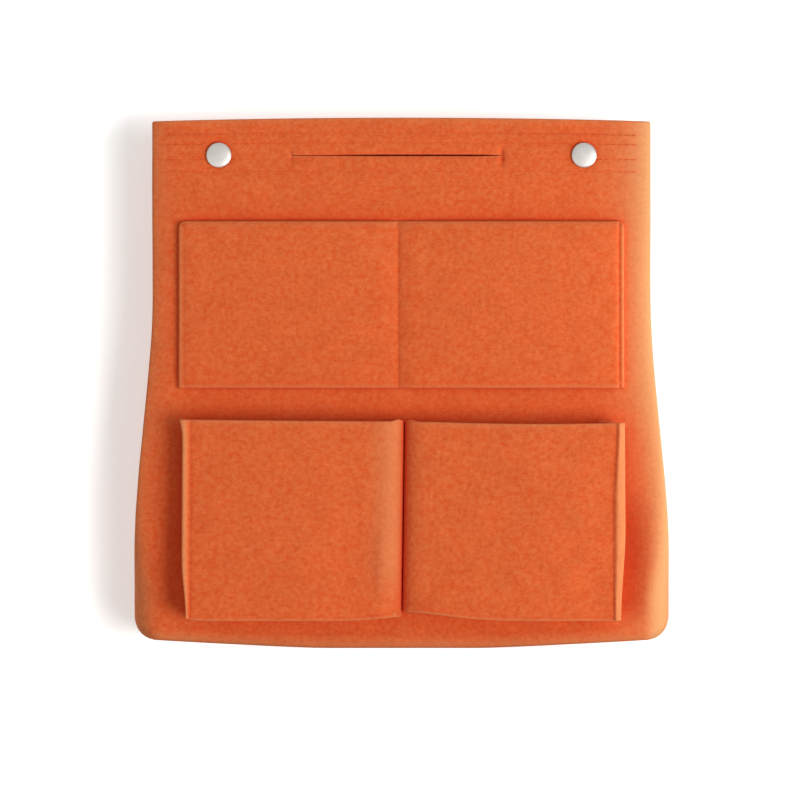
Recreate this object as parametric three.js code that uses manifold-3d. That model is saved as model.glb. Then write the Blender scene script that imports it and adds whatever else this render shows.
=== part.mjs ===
// Felt bag organizer insert: an upright soft caddy of 3 mm wool felt, with V-fold sides, a flat
// upper pocket panel, two box pockets that stand proud, a hand slot and two press studs at the mouth.
// Millimetres, +Z up. The front faces -Y and the origin is on the underside, in the middle of the base.

import * as THREE from 'three';
import { mergeVertices } from 'three/addons/utils/BufferGeometryUtils.js';
import Module from 'manifold-3d';

const wasm = await Module();
wasm.setup();

// Felt, and the room that is left between separate pieces
const felt = 3;
const seatGap = 0.3;
const foldGap = 0.4;

// Body, seen from the front
const bodyHeight = 264;
const topWidth = 249;
const baseWidth = 266;
const widestHeight = 45;
const flareHeight = 175;
const cornerRadius = 10;
const topCrown = 1.8;
const baseFlatWidth = 80;
const baseLift = 4;
const liftPower = 1.2;

// Body, seen from the side
const baseDepth = 46;
const fullDepthHeight = 25;

// Side gussets
const gussetInset = 0.5;

// Facings inside the mouth, and the hand slot through all four layers
const facingHeight = 30;
const slotLength = 105;
const slotWidth = 1.2;
const slotDrop = 17.5;
const slotOffset = -2.5;

// Upper pocket panel
const pocketSpan = 222;
const upperBottom = 130;
const upperHeight = 83.5;
const upperSeamX = -1.75;
const upperBow = 5;

// Lower box pockets
const lowerBottom = 15;
const lowerHeight = 98;
const floorDepth = 14;
const mouthDepth = 9;
const flangeWidth = 4;
const faceCrown = 1.5;
const pleatX = 1.5;
const pleatRoom = 2;
const pleatRadius = 5;
const gussetBulge = 4.5;

// Press studs
const snapToCrease = 3.05;
const snapDrop = 17.5;
const capRadius = 6.25;
const capRise = 1.7;
const capRim = 0.6;
const shankRadius = 2.2;
const shankBore = 1.2;
const socketRadius = 5.25;
const socketHeight = 1.8;
const socketPlate = 0.4;
const socketLip = 0.4;
const grooveDepth = 1.1;
const springWire = 0.5;
const springOpening = 50;
const studFlange = 0.6;
const studHeight = 1.5;
const studWall = 0.4;
const studBulb = 0.5;
const postRadius = 4.75;
const postRise = 0.9;
const postDish = 0.6;

// Fineness of the curves
const profileSteps = 18;
const sideSteps = 10;
const cornerSteps = 6;
const liftSteps = 5;
const roundSegments = 24;
const wireSegments = 6;
const gussetColumns = 8;
const upperColumns = 16;
const upperRows = 8;
const pocketColumns = 8;
const pocketRows = 8;
const pocketGussetColumns = 6;
const pleatFoldColumns = 4;
const weldTolerance = 1e-4;

// What follows from the sizes above
const topHalfDepth = 2 * felt + seatGap + foldGap / 2;
const baseHalfDepth = baseDepth / 2;
const gussetReach = baseHalfDepth - felt;
const foldRadius = (felt + foldGap) / 2;
const hingeY = baseHalfDepth - felt / 2;
const hingeZ = felt / 2;
const creaseX = topWidth / 2 - gussetInset - felt / 2 - gussetReach - foldRadius - felt / 2;
const snapX = creaseX - snapToCrease - socketRadius;
const snapHeight = bodyHeight - snapDrop;
const slotHeight = bodyHeight - slotDrop;
const facingBottom = bodyHeight - facingHeight;
const lowerTop = lowerBottom + lowerHeight;
const upperTop = upperBottom + upperHeight;

// How far a sheet or cutter runs past what it is trimmed by
const farPast = 20;

// Curves from 0 to 1, and from 0 up to 1 and back to 0, as t goes from 0 to 1
const ease = (t) => THREE.MathUtils.smoothstep(t, 0, 1);
const arch = (t) => 4 * t * (1 - t);

// Distance from the middle plane to the outer face of the front or back panel at a height
function depthAt(z) {
  const share = ease((flareHeight - z) / (flareHeight - fullDepthHeight));
  return THREE.MathUtils.lerp(topHalfDepth, baseHalfDepth, share);
}

// Half the width of the body at a height
function halfWidthAt(z) {
  const share = ease((flareHeight - z) / (flareHeight - widestHeight));
  return THREE.MathUtils.lerp(topWidth, baseWidth, share) / 2;
}

// How far the underside has risen from the ground at a distance from the middle
function liftAt(x) {
  const cornerStart = baseWidth / 2 - cornerRadius;
  const share = (Math.abs(x) - baseFlatWidth / 2) / (cornerStart - baseFlatWidth / 2);
  return baseLift * Math.pow(Math.max(share, 0), liftPower);
}

// How far the mouth's edge has dropped from its middle at a distance from the middle
function crownDropAt(x) {
  return topCrown * Math.pow(2 * x / topWidth, 2);
}

// The right half of the body's outline from the middle of the base up to the middle of the mouth
function rightOutline() {
  const points = [];
  const cornerStart = baseWidth / 2 - cornerRadius;
  const cornerTop = baseLift + cornerRadius;
  for (let i = 0; i < liftSteps; i++) {
    const x = THREE.MathUtils.lerp(baseFlatWidth / 2, cornerStart, i / liftSteps);
    points.push(new THREE.Vector2(x, liftAt(x)));
  }
  for (let i = 0; i <= cornerSteps; i++) {
    const turn = -Math.PI / 2 * (1 - i / cornerSteps);
    const x = cornerStart + cornerRadius * Math.cos(turn);
    points.push(new THREE.Vector2(x, cornerTop + cornerRadius * Math.sin(turn)));
  }
  for (let i = 0; i <= sideSteps; i++) {
    const z = THREE.MathUtils.lerp(widestHeight, flareHeight, i / sideSteps);
    points.push(new THREE.Vector2(halfWidthAt(z), z));
  }
  for (const x of [topWidth / 2, topWidth / 4]) {
    points.push(new THREE.Vector2(x, bodyHeight - crownDropAt(x)));
  }
  return points;
}

// The whole outline, drawn in by inset on every side, as a loop in the (x, z) plane
function bodyOutline(inset) {
  const right = rightOutline();
  const left = right.map((p) => new THREE.Vector2(-p.x, p.y)).reverse();
  const loop = [...right, new THREE.Vector2(0, bodyHeight), ...left];
  return loop.map((p, i) => {
    const before = loop[(i + loop.length - 1) % loop.length];
    const after = loop[(i + 1) % loop.length];
    const out = after.clone().sub(before).normalize();
    return new THREE.Vector2(p.x - inset * out.y, p.y + inset * out.x);
  });
}

// An outline in the (y, z) plane pushed along X
function extrudeAlongX(points, from, to) {
  const options = { depth: to - from, bevelEnabled: false };
  const geometry = new THREE.ExtrudeGeometry(new THREE.Shape(points), options);
  return geometry.applyMatrix4(new THREE.Matrix4().set(
    0, 0, 1, from,
    1, 0, 0, 0,
    0, 1, 0, 0,
    0, 0, 0, 1,
  ));
}

// An outline in the (x, z) plane pushed along Y
function extrudeAlongY(points, from, to) {
  const options = { depth: to - from, bevelEnabled: false };
  const geometry = new THREE.ExtrudeGeometry(new THREE.Shape(points), options);
  return geometry.applyMatrix4(new THREE.Matrix4().set(
    1, 0, 0, 0,
    0, 0, -1, to,
    0, 1, 0, 0,
    0, 0, 0, 1,
  ));
}

// A felt sheet: a box in columns and rows, each point moved to place(across, up, through)
function bentSheet(columns, rows, place) {
  const geometry = new THREE.BoxGeometry(1, 1, 1, columns, 1, rows);
  const position = geometry.attributes.position;
  for (let i = 0; i < position.count; i++) {
    const point = place(position.getX(i) + 0.5, position.getZ(i) + 0.5, position.getY(i) + 0.5);
    position.setXYZ(i, point.x, point.y, point.z);
  }
  return geometry;
}

// The same surface with every triangle facing the other way
function reversed(geometry) {
  const copy = geometry.index ? geometry.toNonIndexed() : geometry.clone();
  const position = copy.attributes.position;
  const second = new THREE.Vector3();
  const third = new THREE.Vector3();
  for (let i = 0; i < position.count; i += 3) {
    second.fromBufferAttribute(position, i + 1);
    third.fromBufferAttribute(position, i + 2);
    position.setXYZ(i + 1, third.x, third.y, third.z);
    position.setXYZ(i + 2, second.x, second.y, second.z);
  }
  return copy;
}

// The same shape on the other side of the plane x = 0, or y = 0
const acrossX = (geometry) => reversed(geometry).scale(-1, 1, 1);
const acrossY = (geometry) => reversed(geometry).scale(1, -1, 1);

// Exact solids for joining and cutting
function toSolid(geometry) {
  const bare = geometry.clone();
  bare.deleteAttribute('normal');
  bare.deleteAttribute('uv');
  const merged = mergeVertices(bare, weldTolerance);
  const vertProperties = new Float32Array(merged.attributes.position.array);
  const triVerts = new Uint32Array(merged.index.array);
  return new wasm.Manifold(new wasm.Mesh({ numProp: 3, vertProperties, triVerts }));
}

function toGeometry(solid) {
  const mesh = solid.getMesh();
  const geometry = new THREE.BufferGeometry();
  geometry.setAttribute('position', new THREE.BufferAttribute(mesh.vertProperties, 3));
  geometry.setIndex(new THREE.BufferAttribute(mesh.triVerts, 1));
  return geometry;
}

// Side profile of the felt between two heights, from an outer face at depth(z) inward by one felt
function feltProfile(depth, from, to) {
  const outer = [];
  for (let i = 0; i <= profileSteps; i++) {
    const z = THREE.MathUtils.lerp(from, to, i / profileSteps);
    outer.push(new THREE.Vector2(-depth(z), z));
  }
  const inner = outer.map((p) => new THREE.Vector2(p.x + felt, p.y)).reverse();
  return { outer, inner };
}

// The slit for the hand, as a bar with round ends that passes through whatever it cuts
function handSlot() {
  const radius = slotWidth / 2;
  const reach = slotLength / 2 - radius;
  const shape = new THREE.Shape();
  shape.absarc(slotOffset + reach, slotHeight, radius, -Math.PI / 2, Math.PI / 2, false);
  shape.absarc(slotOffset - reach, slotHeight, radius, Math.PI / 2, 3 * Math.PI / 2, false);
  return toSolid(extrudeAlongY(shape.getPoints(cornerSteps), -baseDepth, baseDepth));
}

// A round cutter along Y at each press stud
function snapHoles(radius, from, to) {
  const holes = [-1, 1].map((side) => {
    const cylinder = new THREE.CylinderGeometry(radius, radius, to - from, roundSegments);
    cylinder.translate(side * snapX, (from + to) / 2, snapHeight);
    return toSolid(cylinder);
  });
  return holes[0].add(holes[1]);
}

// Front or back panel: the curved side profile, trimmed to the outline, with a round lower edge
// that turns on the fold of the base
function bodyPanel() {
  const { outer, inner } = feltProfile(depthAt, hingeZ, bodyHeight);
  const fold = [];
  for (let i = 1; i < cornerSteps; i++) {
    const turn = -Math.PI * i / cornerSteps;
    fold.push(new THREE.Vector2(-hingeY + hingeZ * Math.cos(turn), hingeZ + hingeZ * Math.sin(turn)));
  }
  const sheet = extrudeAlongX([...outer, ...inner, ...fold], -baseWidth, baseWidth);
  const outline = extrudeAlongY(bodyOutline(0), -baseDepth, baseDepth);
  return toSolid(sheet)
    .intersect(toSolid(outline))
    .subtract(handSlot())
    .subtract(snapHoles(shankRadius + seatGap, -baseDepth, baseDepth));
}

// Base: one strip that lies flat in the middle and turns up at both ends to meet the gussets
function basePanel() {
  const outside = bodyOutline(0);
  const inside = bodyOutline(felt);
  const low = (p) => p.y <= baseLift + cornerRadius + seatGap;
  const right = outside.filter((p) => low(p) && p.x > 0);
  const left = outside.filter((p) => low(p) && p.x < 0);
  const rightInside = inside.filter((p, i) => low(outside[i]) && p.x > 0).reverse();
  const leftInside = inside.filter((p, i) => low(outside[i]) && p.x < 0).reverse();
  const reach = gussetReach - seatGap;
  return extrudeAlongY([...left, ...right, ...rightInside, ...leftInside], -reach, reach);
}

// Left gusset: a strip from the front panel's edge to the back panel's edge, spread flat at the
// base and folded into a closed V at the mouth. The middle half of its columns goes round the
// crease, and the others are the two straight legs.
function sideGusset() {
  const bottom = baseLift + cornerRadius + 2 * seatGap;
  const legLength = gussetReach + farPast;
  const place = (across, up, through) => {
    const z = THREE.MathUtils.lerp(bottom, bodyHeight, up);
    const spread = (depthAt(z) - topHalfDepth) / (baseHalfDepth - topHalfDepth);
    const lean = Math.asin(spread);
    const edge = halfWidthAt(z) - gussetInset - felt / 2;
    const centre = edge - gussetReach * Math.cos(lean) + foldRadius * Math.sin(lean);
    const side = across < 0.5 ? -1 : 1;
    const offset = foldRadius + (0.5 - through) * felt;
    const fromCrease = Math.abs(across - 0.5) * 4;
    const turn = Math.min(fromCrease, 1) * (Math.PI / 2 - lean);
    const leg = Math.max(fromCrease - 1, 0) * legLength;
    const x = centre - offset * Math.cos(turn) + leg * Math.cos(lean);
    const y = side * (offset * Math.sin(turn) + leg * Math.sin(lean));
    return new THREE.Vector3(-x, y, z);
  };
  const strip = toSolid(bentSheet(gussetColumns, profileSteps, place));
  const { inner } = feltProfile(depthAt, bottom, bodyHeight);
  const front = inner.map((p) => new THREE.Vector2(p.x + seatGap, p.y));
  const back = front.map((p) => new THREE.Vector2(-p.x, p.y)).reverse();
  const room = extrudeAlongX([...front, ...back], -baseWidth, baseWidth);
  const outline = extrudeAlongY(bodyOutline(gussetInset), -baseDepth, baseDepth);
  return toGeometry(strip.intersect(toSolid(room)).intersect(toSolid(outline)));
}

// Band behind the mouth's edge, with a seat pressed into its inner face round each stud
function facing(seatRadius, seatDepth) {
  const reach = creaseX - 2 * seatGap;
  const inner = foldGap / 2;
  const band = new THREE.BoxGeometry(2 * reach, felt, facingHeight);
  band.translate(0, -inner - felt / 2, facingBottom + facingHeight / 2);
  const outline = extrudeAlongY(bodyOutline(gussetInset), -baseDepth, baseDepth);
  return toSolid(band)
    .intersect(toSolid(outline))
    .subtract(handSlot())
    .subtract(snapHoles(shankRadius + seatGap, -baseDepth, baseDepth))
    .subtract(snapHoles(seatRadius, -inner - seatDepth, farPast));
}

// Upper pocket panel: sewn at its sides, bottom and middle, so each mouth bows out between seams
function upperPocketPanel() {
  const half = pocketSpan / 2;
  const seamAt = (upperSeamX + half) / pocketSpan;
  const place = (across, up, through) => {
    const first = across < 0.5;
    const along = first ? across * 2 : across * 2 - 1;
    const x = first
      ? THREE.MathUtils.lerp(-half, -half + seamAt * pocketSpan, along)
      : THREE.MathUtils.lerp(-half + seamAt * pocketSpan, half, along);
    const z = THREE.MathUtils.lerp(upperBottom, upperTop, up);
    const bow = upperBow * arch(along) * up;
    const outward = depthAt(z) + seatGap + bow + (1 - through) * felt;
    return new THREE.Vector3(x, -outward, z);
  };
  return bentSheet(upperColumns, upperRows, place);
}

// The inner face of a box pocket's front at a height: straight from the floor to the mouth
function pocketFaceAt(z) {
  const low = depthAt(lowerBottom) + floorDepth;
  const high = depthAt(lowerTop) + mouthDepth;
  return THREE.MathUtils.lerp(low, high, (z - lowerBottom) / lowerHeight);
}

// The pleat's turn at the panel, and half its width at the pocket faces
const pleatFold = (felt + pleatRoom) / 2;
const pleatHalf = pleatFold + pleatRadius;

// Front of a box pocket, slightly crowned, with a free raw edge past the gusset's seam
function pocketFront(side) {
  const outerEdge = side * pocketSpan / 2;
  const innerEdge = pleatX + side * (pleatHalf + seatGap);
  const left = Math.min(outerEdge, innerEdge);
  const right = Math.max(outerEdge, innerEdge);
  const place = (across, up, through) => {
    const z = THREE.MathUtils.lerp(lowerBottom, lowerTop, up);
    const crown = faceCrown * arch(across) * arch(up);
    const outward = pocketFaceAt(z) + crown + (1 - through) * felt;
    return new THREE.Vector3(THREE.MathUtils.lerp(left, right, across), -outward, z);
  };
  return bentSheet(pocketColumns, pocketRows, place);
}

// Floor of a box pocket, rounded off where it meets the pleat
function pocketFloor(side) {
  const outer = pocketSpan / 2 - flangeWidth - felt - seatGap;
  const back = depthAt(lowerBottom) + seatGap;
  const front = pocketFaceAt(lowerBottom + felt) - seatGap;
  const wall = pleatFold + felt / 2 + seatGap;
  const roundOff = pleatRadius - felt / 2 - seatGap;
  const inner = wall + side * pleatX;
  const shape = new THREE.Shape();
  shape.moveTo(outer, -back);
  shape.lineTo(inner, -back);
  shape.absarc(inner + roundOff, -front + roundOff, roundOff, Math.PI, 3 * Math.PI / 2, false);
  shape.lineTo(outer, -front);
  const options = { depth: felt, bevelEnabled: false, curveSegments: cornerSteps };
  const floor = new THREE.ExtrudeGeometry(shape, options).translate(0, 0, lowerBottom);
  return side < 0 ? acrossX(floor) : floor;
}

// Outer gusset of a box pocket: spread at the floor, bulging outward towards the mouth
function pocketGusset(side) {
  const seam = pocketSpan / 2 - flangeWidth;
  const place = (across, up, through) => {
    const z = THREE.MathUtils.lerp(lowerBottom, lowerTop, up);
    const back = depthAt(z) + seatGap;
    const front = pocketFaceAt(z) - seatGap;
    const bulge = gussetBulge * up * Math.sin(Math.PI * across);
    const x = seam + bulge - (1 - through) * felt;
    return new THREE.Vector3(x, -THREE.MathUtils.lerp(back, front, across), z);
  };
  const gusset = bentSheet(pocketGussetColumns, pocketRows, place);
  return side < 0 ? acrossX(gusset) : gusset;
}

// Pleat between the box pockets: the strip turns back to the panel, is sewn there and comes out
// again. Each half has a quarter turn at the panel, one straight wall and a quarter turn at the face.
function centrePleat() {
  const half = 2 * pleatFoldColumns + 1;
  const place = (across, up, through) => {
    const z = THREE.MathUtils.lerp(lowerBottom, lowerTop, up);
    const step = Math.abs(across - 0.5) * 2 * half;
    const side = across < 0.5 ? -1 : 1;
    const face = pocketFaceAt(z) + felt / 2;
    const foot = depthAt(z) + seatGap + felt / 2;
    const shift = (0.5 - through) * felt;
    let x;
    let outward;
    if (step <= pleatFoldColumns) {
      const turn = Math.PI / 2 * step / pleatFoldColumns;
      x = (pleatFold - shift) * Math.sin(turn);
      outward = foot + pleatFold - (pleatFold - shift) * Math.cos(turn);
    } else {
      const turn = Math.PI / 2 * (step - pleatFoldColumns - 1) / pleatFoldColumns;
      x = pleatHalf - (pleatRadius + shift) * Math.cos(turn);
      outward = face - pleatRadius + (pleatRadius + shift) * Math.sin(turn);
    }
    return new THREE.Vector3(pleatX + side * x, -outward, z);
  };
  return bentSheet(2 * half, pocketRows, place);
}

// A piece turned about Y, from (radius, y) points
function turned(points) {
  const profile = points.map(([radius, y]) => new THREE.Vector2(radius, y));
  return new THREE.LatheGeometry(profile, roundSegments);
}

// Places of the press stud's parts along Y, from the closed plane between the facings, and their radii
const socketMouth = -seatGap / 2;
const socketBase = socketMouth - socketHeight;
const studBase = -socketMouth;
const studTip = studBase - studHeight;
const shankEnd = studTip - seatGap;
const socketBore = shankRadius + seatGap;
const studRadius = socketBore - seatGap;
const studNeck = studRadius - studWall / 2;
const studBore = studNeck - studWall;
const capSeat = -topHalfDepth - seatGap;

// Domed cap whose shank passes through the panel and its facing into the socket
function snapCap() {
  const dome = [];
  for (let i = 0; i <= cornerSteps; i++) {
    const turn = Math.PI / 2 * i / cornerSteps;
    dome.push([capRadius * Math.sin(turn), capSeat - capRim - (capRise - capRim) * Math.cos(turn)]);
  }
  return turned([
    ...dome,
    [capRadius, capSeat - capRim / 2],
    [capRadius - capRim / 2, capSeat],
    [shankRadius, capSeat],
    [shankRadius, shankEnd],
    [shankBore, shankEnd],
    [shankBore, capSeat],
    [0, capSeat],
  ]);
}

// Socket with a groove that holds the spring
function snapSocket() {
  return turned([
    [socketBore, socketBase],
    [socketRadius - socketPlate, socketBase],
    [socketRadius, socketBase + socketPlate],
    [socketRadius, socketMouth - socketLip],
    [socketRadius - socketLip, socketMouth],
    [socketBore, socketMouth],
    [socketBore, socketMouth - socketLip],
    [socketBore + grooveDepth, socketMouth - socketLip],
    [socketBore + grooveDepth, socketBase + socketPlate],
    [socketBore, socketBase + socketPlate],
    [socketBore, socketBase],
  ]);
}

// Open ring of spring wire that lies in the socket's groove
function snapSpring() {
  const radius = socketBore + grooveDepth / 2;
  const opening = THREE.MathUtils.degToRad(springOpening);
  const middle = (socketMouth - socketLip + socketBase + socketPlate) / 2;
  const points = [];
  for (let i = 0; i <= roundSegments / 2; i++) {
    const turn = opening / 2 + (2 * Math.PI - opening) * i / (roundSegments / 2);
    points.push(new THREE.Vector3(radius * Math.sin(turn), middle, radius * Math.cos(turn)));
  }
  const wire = new THREE.Shape();
  wire.absarc(0, 0, springWire / 2, 0, 2 * Math.PI, false);
  const options = {
    steps: roundSegments / 2,
    extrudePath: new THREE.CatmullRomCurve3(points),
    curveSegments: wireSegments,
    bevelEnabled: false,
  };
  return new THREE.ExtrudeGeometry(wire, options);
}

// Stud: a hollow nipple on a flange, open at the back for the post
function snapStud() {
  return turned([
    [0, studTip],
    [studRadius - studWall, studTip],
    [studRadius, studTip + studBulb],
    [studNeck, studBase],
    [socketRadius, studBase],
    [socketRadius, studBase + studFlange],
    [studBore, studBase + studFlange],
    [studBore, studTip + studWall],
    [0, studTip + studWall],
  ]);
}

// Flanged eyelet post that holds the stud from the outside of the back panel
function snapPost() {
  const shank = studBore - seatGap;
  const seat = topHalfDepth + seatGap;
  const tip = studTip + studWall + seatGap;
  return turned([
    [0, tip],
    [shank, tip],
    [shank, seat],
    [postRadius - capRim / 2, seat],
    [postRadius, seat + capRim / 2],
    [postRadius - capRim, seat + postRise],
    [shank, seat + postRise],
    [shank - studWall, seat + postRise - postDish],
    [0, seat + postRise - postDish],
  ]);
}

const orangeFelt = { color: 0xd8602e, roughness: 0.95, metalness: 0 };
const satinNickel = { color: 0xc4bfb8, roughness: 0.35, metalness: 1 };

// Every part is its own mesh with its own material, with its faces turned outward
function part(name, geometry, finish) {
  const position = (geometry.index ? geometry.toNonIndexed() : geometry).attributes.position;
  const corners = [new THREE.Vector3(), new THREE.Vector3(), new THREE.Vector3()];
  let volume = 0;
  for (let i = 0; i < position.count; i += 3) {
    corners.forEach((corner, k) => corner.fromBufferAttribute(position, i + k));
    volume += corners[0].dot(corners[1].cross(corners[2]));
  }
  const shape = volume < 0 ? reversed(geometry) : geometry;
  const mesh = new THREE.Mesh(shape, new THREE.MeshStandardMaterial(finish));
  mesh.name = name;
  return mesh;
}

const socketSeat = { radius: socketRadius + seatGap, depth: -socketBase - foldGap / 2 + seatGap };
const studSeat = { radius: socketRadius + seatGap, depth: studBase + studFlange - foldGap / 2 + seatGap };

const panel = toGeometry(bodyPanel());
const gusset = sideGusset();

const organizer = new THREE.Group();
organizer.add(
  part('base_panel', basePanel(), orangeFelt),
  part('left_side_gusset', gusset, orangeFelt),
  part('right_side_gusset', acrossX(gusset), orangeFelt),
  part('front_panel', panel, orangeFelt),
  part('front_facing', toGeometry(facing(socketSeat.radius, socketSeat.depth)), orangeFelt),
  part('upper_pocket_panel', upperPocketPanel(), orangeFelt),
  part('pocket_centre_pleat', centrePleat(), orangeFelt),
  part('back_panel', acrossY(panel), orangeFelt),
  part('back_facing', acrossY(toGeometry(facing(studSeat.radius, studSeat.depth))), orangeFelt),
);

for (const [name, side] of [['left', -1], ['right', 1]]) {
  organizer.add(
    part(`${name}_pocket_front`, pocketFront(side), orangeFelt),
    part(`${name}_pocket_floor`, pocketFloor(side), orangeFelt),
    part(`${name}_pocket_gusset`, pocketGusset(side), orangeFelt),
  );
  const snap = new THREE.Group();
  snap.position.set(side * snapX, 0, snapHeight);
  snap.add(
    part(`${name}_snap_cap`, snapCap(), satinNickel),
    part(`${name}_snap_socket`, snapSocket(), satinNickel),
    part(`${name}_snap_spring`, snapSpring(), satinNickel),
    part(`${name}_snap_stud`, snapStud(), satinNickel),
    part(`${name}_snap_post`, snapPost(), satinNickel),
  );
  organizer.add(snap);
}

export default organizer;
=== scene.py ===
import math
import random

import bmesh
import bpy
from mathutils import Matrix, Vector, noise


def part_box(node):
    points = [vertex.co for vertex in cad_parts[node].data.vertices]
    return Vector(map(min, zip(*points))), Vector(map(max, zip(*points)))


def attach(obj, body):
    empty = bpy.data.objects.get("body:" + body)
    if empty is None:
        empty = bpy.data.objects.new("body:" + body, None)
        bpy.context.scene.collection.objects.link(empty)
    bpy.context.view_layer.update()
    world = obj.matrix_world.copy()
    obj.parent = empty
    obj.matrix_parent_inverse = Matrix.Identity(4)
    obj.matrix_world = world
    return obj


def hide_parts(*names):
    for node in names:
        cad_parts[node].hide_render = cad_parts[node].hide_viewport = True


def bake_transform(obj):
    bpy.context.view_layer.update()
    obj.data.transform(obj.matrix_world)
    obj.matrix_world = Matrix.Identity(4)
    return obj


bl_info = {
    "name": "Felt bag organizer",
    "version": (1, 0, 0),
    "blender": (4, 5, 0),
    "location": "View3D > Sidebar > Organizer",
    "description": "Makes the felt, the stitching and the press studs of a bag organizer round its frame",
    "category": "Object",
}

MM = 0.001
SIDES = (("left", -1), ("right", 1))
WALLS = (("front", 1), ("back", -1))

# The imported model, and the sizes that the pieces take from it
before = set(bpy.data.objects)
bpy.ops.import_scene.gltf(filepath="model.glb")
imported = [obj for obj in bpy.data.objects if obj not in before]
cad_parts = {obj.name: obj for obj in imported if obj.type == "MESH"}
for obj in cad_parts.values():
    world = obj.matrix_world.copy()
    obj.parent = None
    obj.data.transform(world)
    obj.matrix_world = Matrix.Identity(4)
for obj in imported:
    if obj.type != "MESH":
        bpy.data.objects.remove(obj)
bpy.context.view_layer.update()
PANEL_LOW, PANEL_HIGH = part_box("front_panel")
FACING_LOW, FACING_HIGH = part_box("front_facing")
UPPER_LOW, UPPER_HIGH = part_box("upper_pocket_panel")
LOWER_LOW, LOWER_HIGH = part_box("right_pocket_front")
PLEAT_LOW, PLEAT_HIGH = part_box("pocket_centre_pleat")
CAP_LOW, CAP_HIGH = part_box("right_snap_cap")


def reach(node, axis, low, high):
    """The largest distance of a node's points from the middle plane of an axis, between two heights."""
    points = (v.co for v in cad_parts[node].data.vertices)
    return max(abs(p[axis]) for p in points if low <= p.z <= high)


HEIGHT = PANEL_HIGH.z
FELT = FACING_HIGH.y - FACING_LOW.y
HALF_FOLD_GAP = -FACING_HIGH.y
TOP_DEPTH = FELT - PANEL_HIGH.y
BASE_DEPTH = -PANEL_LOW.y
BASE_HALF_WIDTH = PANEL_HIGH.x
TOP_HALF_WIDTH = reach("front_panel", 0, HEIGHT - 20 * MM, HEIGHT)
CREASE_REACH = BASE_DEPTH - FELT
SEAT_GAP = TOP_DEPTH - 2 * FELT - HALF_FOLD_GAP
STUD_DROP = 1.3 * MM  # the photo's studs and hand slot sit this much below the solids'
STUD_X = (CAP_LOW.x + CAP_HIGH.x) / 2
STUD_Z = (CAP_LOW.z + CAP_HIGH.z) / 2 - STUD_DROP
CAP_RADIUS = (CAP_HIGH.x - CAP_LOW.x) / 2
PLEAT_X = (PLEAT_LOW.x + PLEAT_HIGH.x) / 2
FLANGE_EDGE = LOWER_HIGH.x
FACE_FOOT = -LOWER_LOW.y - FELT
FACE_MOUTH = reach("right_pocket_front", 1, LOWER_HIGH.z - MM, LOWER_HIGH.z + MM) - FELT


def length(name, text, default):
    """A length that a user can change, in the scene's unit."""
    return bpy.props.FloatProperty(name=name, description=text, default=default, unit="LENGTH", precision=5)


def share(name, text, default, top=1.0):
    """A plain number from nothing to top."""
    return bpy.props.FloatProperty(name=name, description=text, default=default, min=0.0, max=top)


def colour(name, text, default):
    """A colour, in linear values."""
    return bpy.props.FloatVectorProperty(
        name=name, description=text, default=default, size=3, subtype="COLOR", min=0.0, max=1.0)


class OrganizerBody(bpy.types.PropertyGroup):
    """Sizes of the felt body."""

    flare_height: length("Flare height", "Above it, front and back lie flat together", 175 * MM)
    full_depth_height: length("Full depth height", "Below it, the base is at full depth", 25 * MM)
    widest_height: length("Widest height", "Below it, the body is at full width", 45 * MM)
    edge_roll: length("Edge roll", "How far from the side edge the felt starts to curve back", 14 * MM)
    front_roll: length("Front roll", "Radius of the lower edge along the front", 4.5 * MM)
    side_roll: length("Side roll", "Radius of the lower edge along the sides", 10 * MM)
    base_lift: length("Base lift", "Rise of the base at its ends", 4 * MM)
    flat_half: length("Flat half", "Half the length of the flat middle of the base", 40 * MM)
    top_crown: length("Top crown", "Drop of the mouth's edge from its middle to its corners", 1.8 * MM)
    wave: length("Wave", "Height of the soft waves in the felt", 0.32 * MM)
    hollow: length("Hollow", "Depth of the hollow beside the right box pocket", 5 * MM)
    slot_length: length("Hand slot length", "Length of the slit for the hand", 105 * MM)
    slot_centre: length("Hand slot centre", "Sideways place of the slit", -2.5 * MM)
    slot_open: length("Hand slot opening", "Height of the slit where it gapes most", 0.65 * MM)


class OrganizerPockets(bpy.types.PropertyGroup):
    """Sizes of the pockets."""

    upper_seam: length("Upper seam", "Sideways place of the seam between the flat pockets", -1.75 * MM)
    upper_bow: length("Upper bow", "How far the flat pockets' mouths bow out", 0.9 * MM)
    upper_inset: length("Upper seam inset", "From the flat pockets' raw edge to their seams", 2.6 * MM)
    upper_drop: length("Upper drop", "How far below its pattern line the flat pocket panel hangs", 1.2 * MM)
    upper_corner: length("Upper corner", "Radius of the flat pockets' upper corners", 2.8 * MM)
    pillow: length("Pillow", "Height of the felt's bulge between seams", 1.1 * MM)
    face_crown: length("Face crown", "Bulge of a box pocket's face", 1.5 * MM)
    pleat_room: length("Pleat room", "Width of the valley between the box pockets", 0.08 * MM)
    pleat_lean: length("Pleat lean", "How far left of its mouth the valley's foot stands", 1.3 * MM)
    lip_width: length("Lip width", "From the valley to where a box pocket's face turns in", 13 * MM)
    lip_depth: length("Lip depth", "Depth over which the face turns into the valley", 6.5 * MM)
    pucker: length("Pucker", "How far the valley's foot is drawn in", 2.6 * MM)
    gusset_bulge: length("Gusset bulge", "How far the left box pocket's side bows out", 4.5 * MM)
    gusset_fold: length("Gusset fold", "How far the right box pocket's side folds in", 6 * MM)


class OrganizerStitching(bpy.types.PropertyGroup):
    """Sizes of the seams."""

    stitch: length("Stitch length", "Length of one stitch", 2.7 * MM)
    gap: length("Stitch gap", "Felt between two stitches", 0.6 * MM)
    thread: length("Thread radius", "Half the thickness of the sewing thread", 0.22 * MM)
    groove: length("Groove depth", "How deep a seam draws the felt in", 0.55 * MM)
    groove_width: length("Groove width", "Half width of the groove along a seam", 0.9 * MM)


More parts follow.
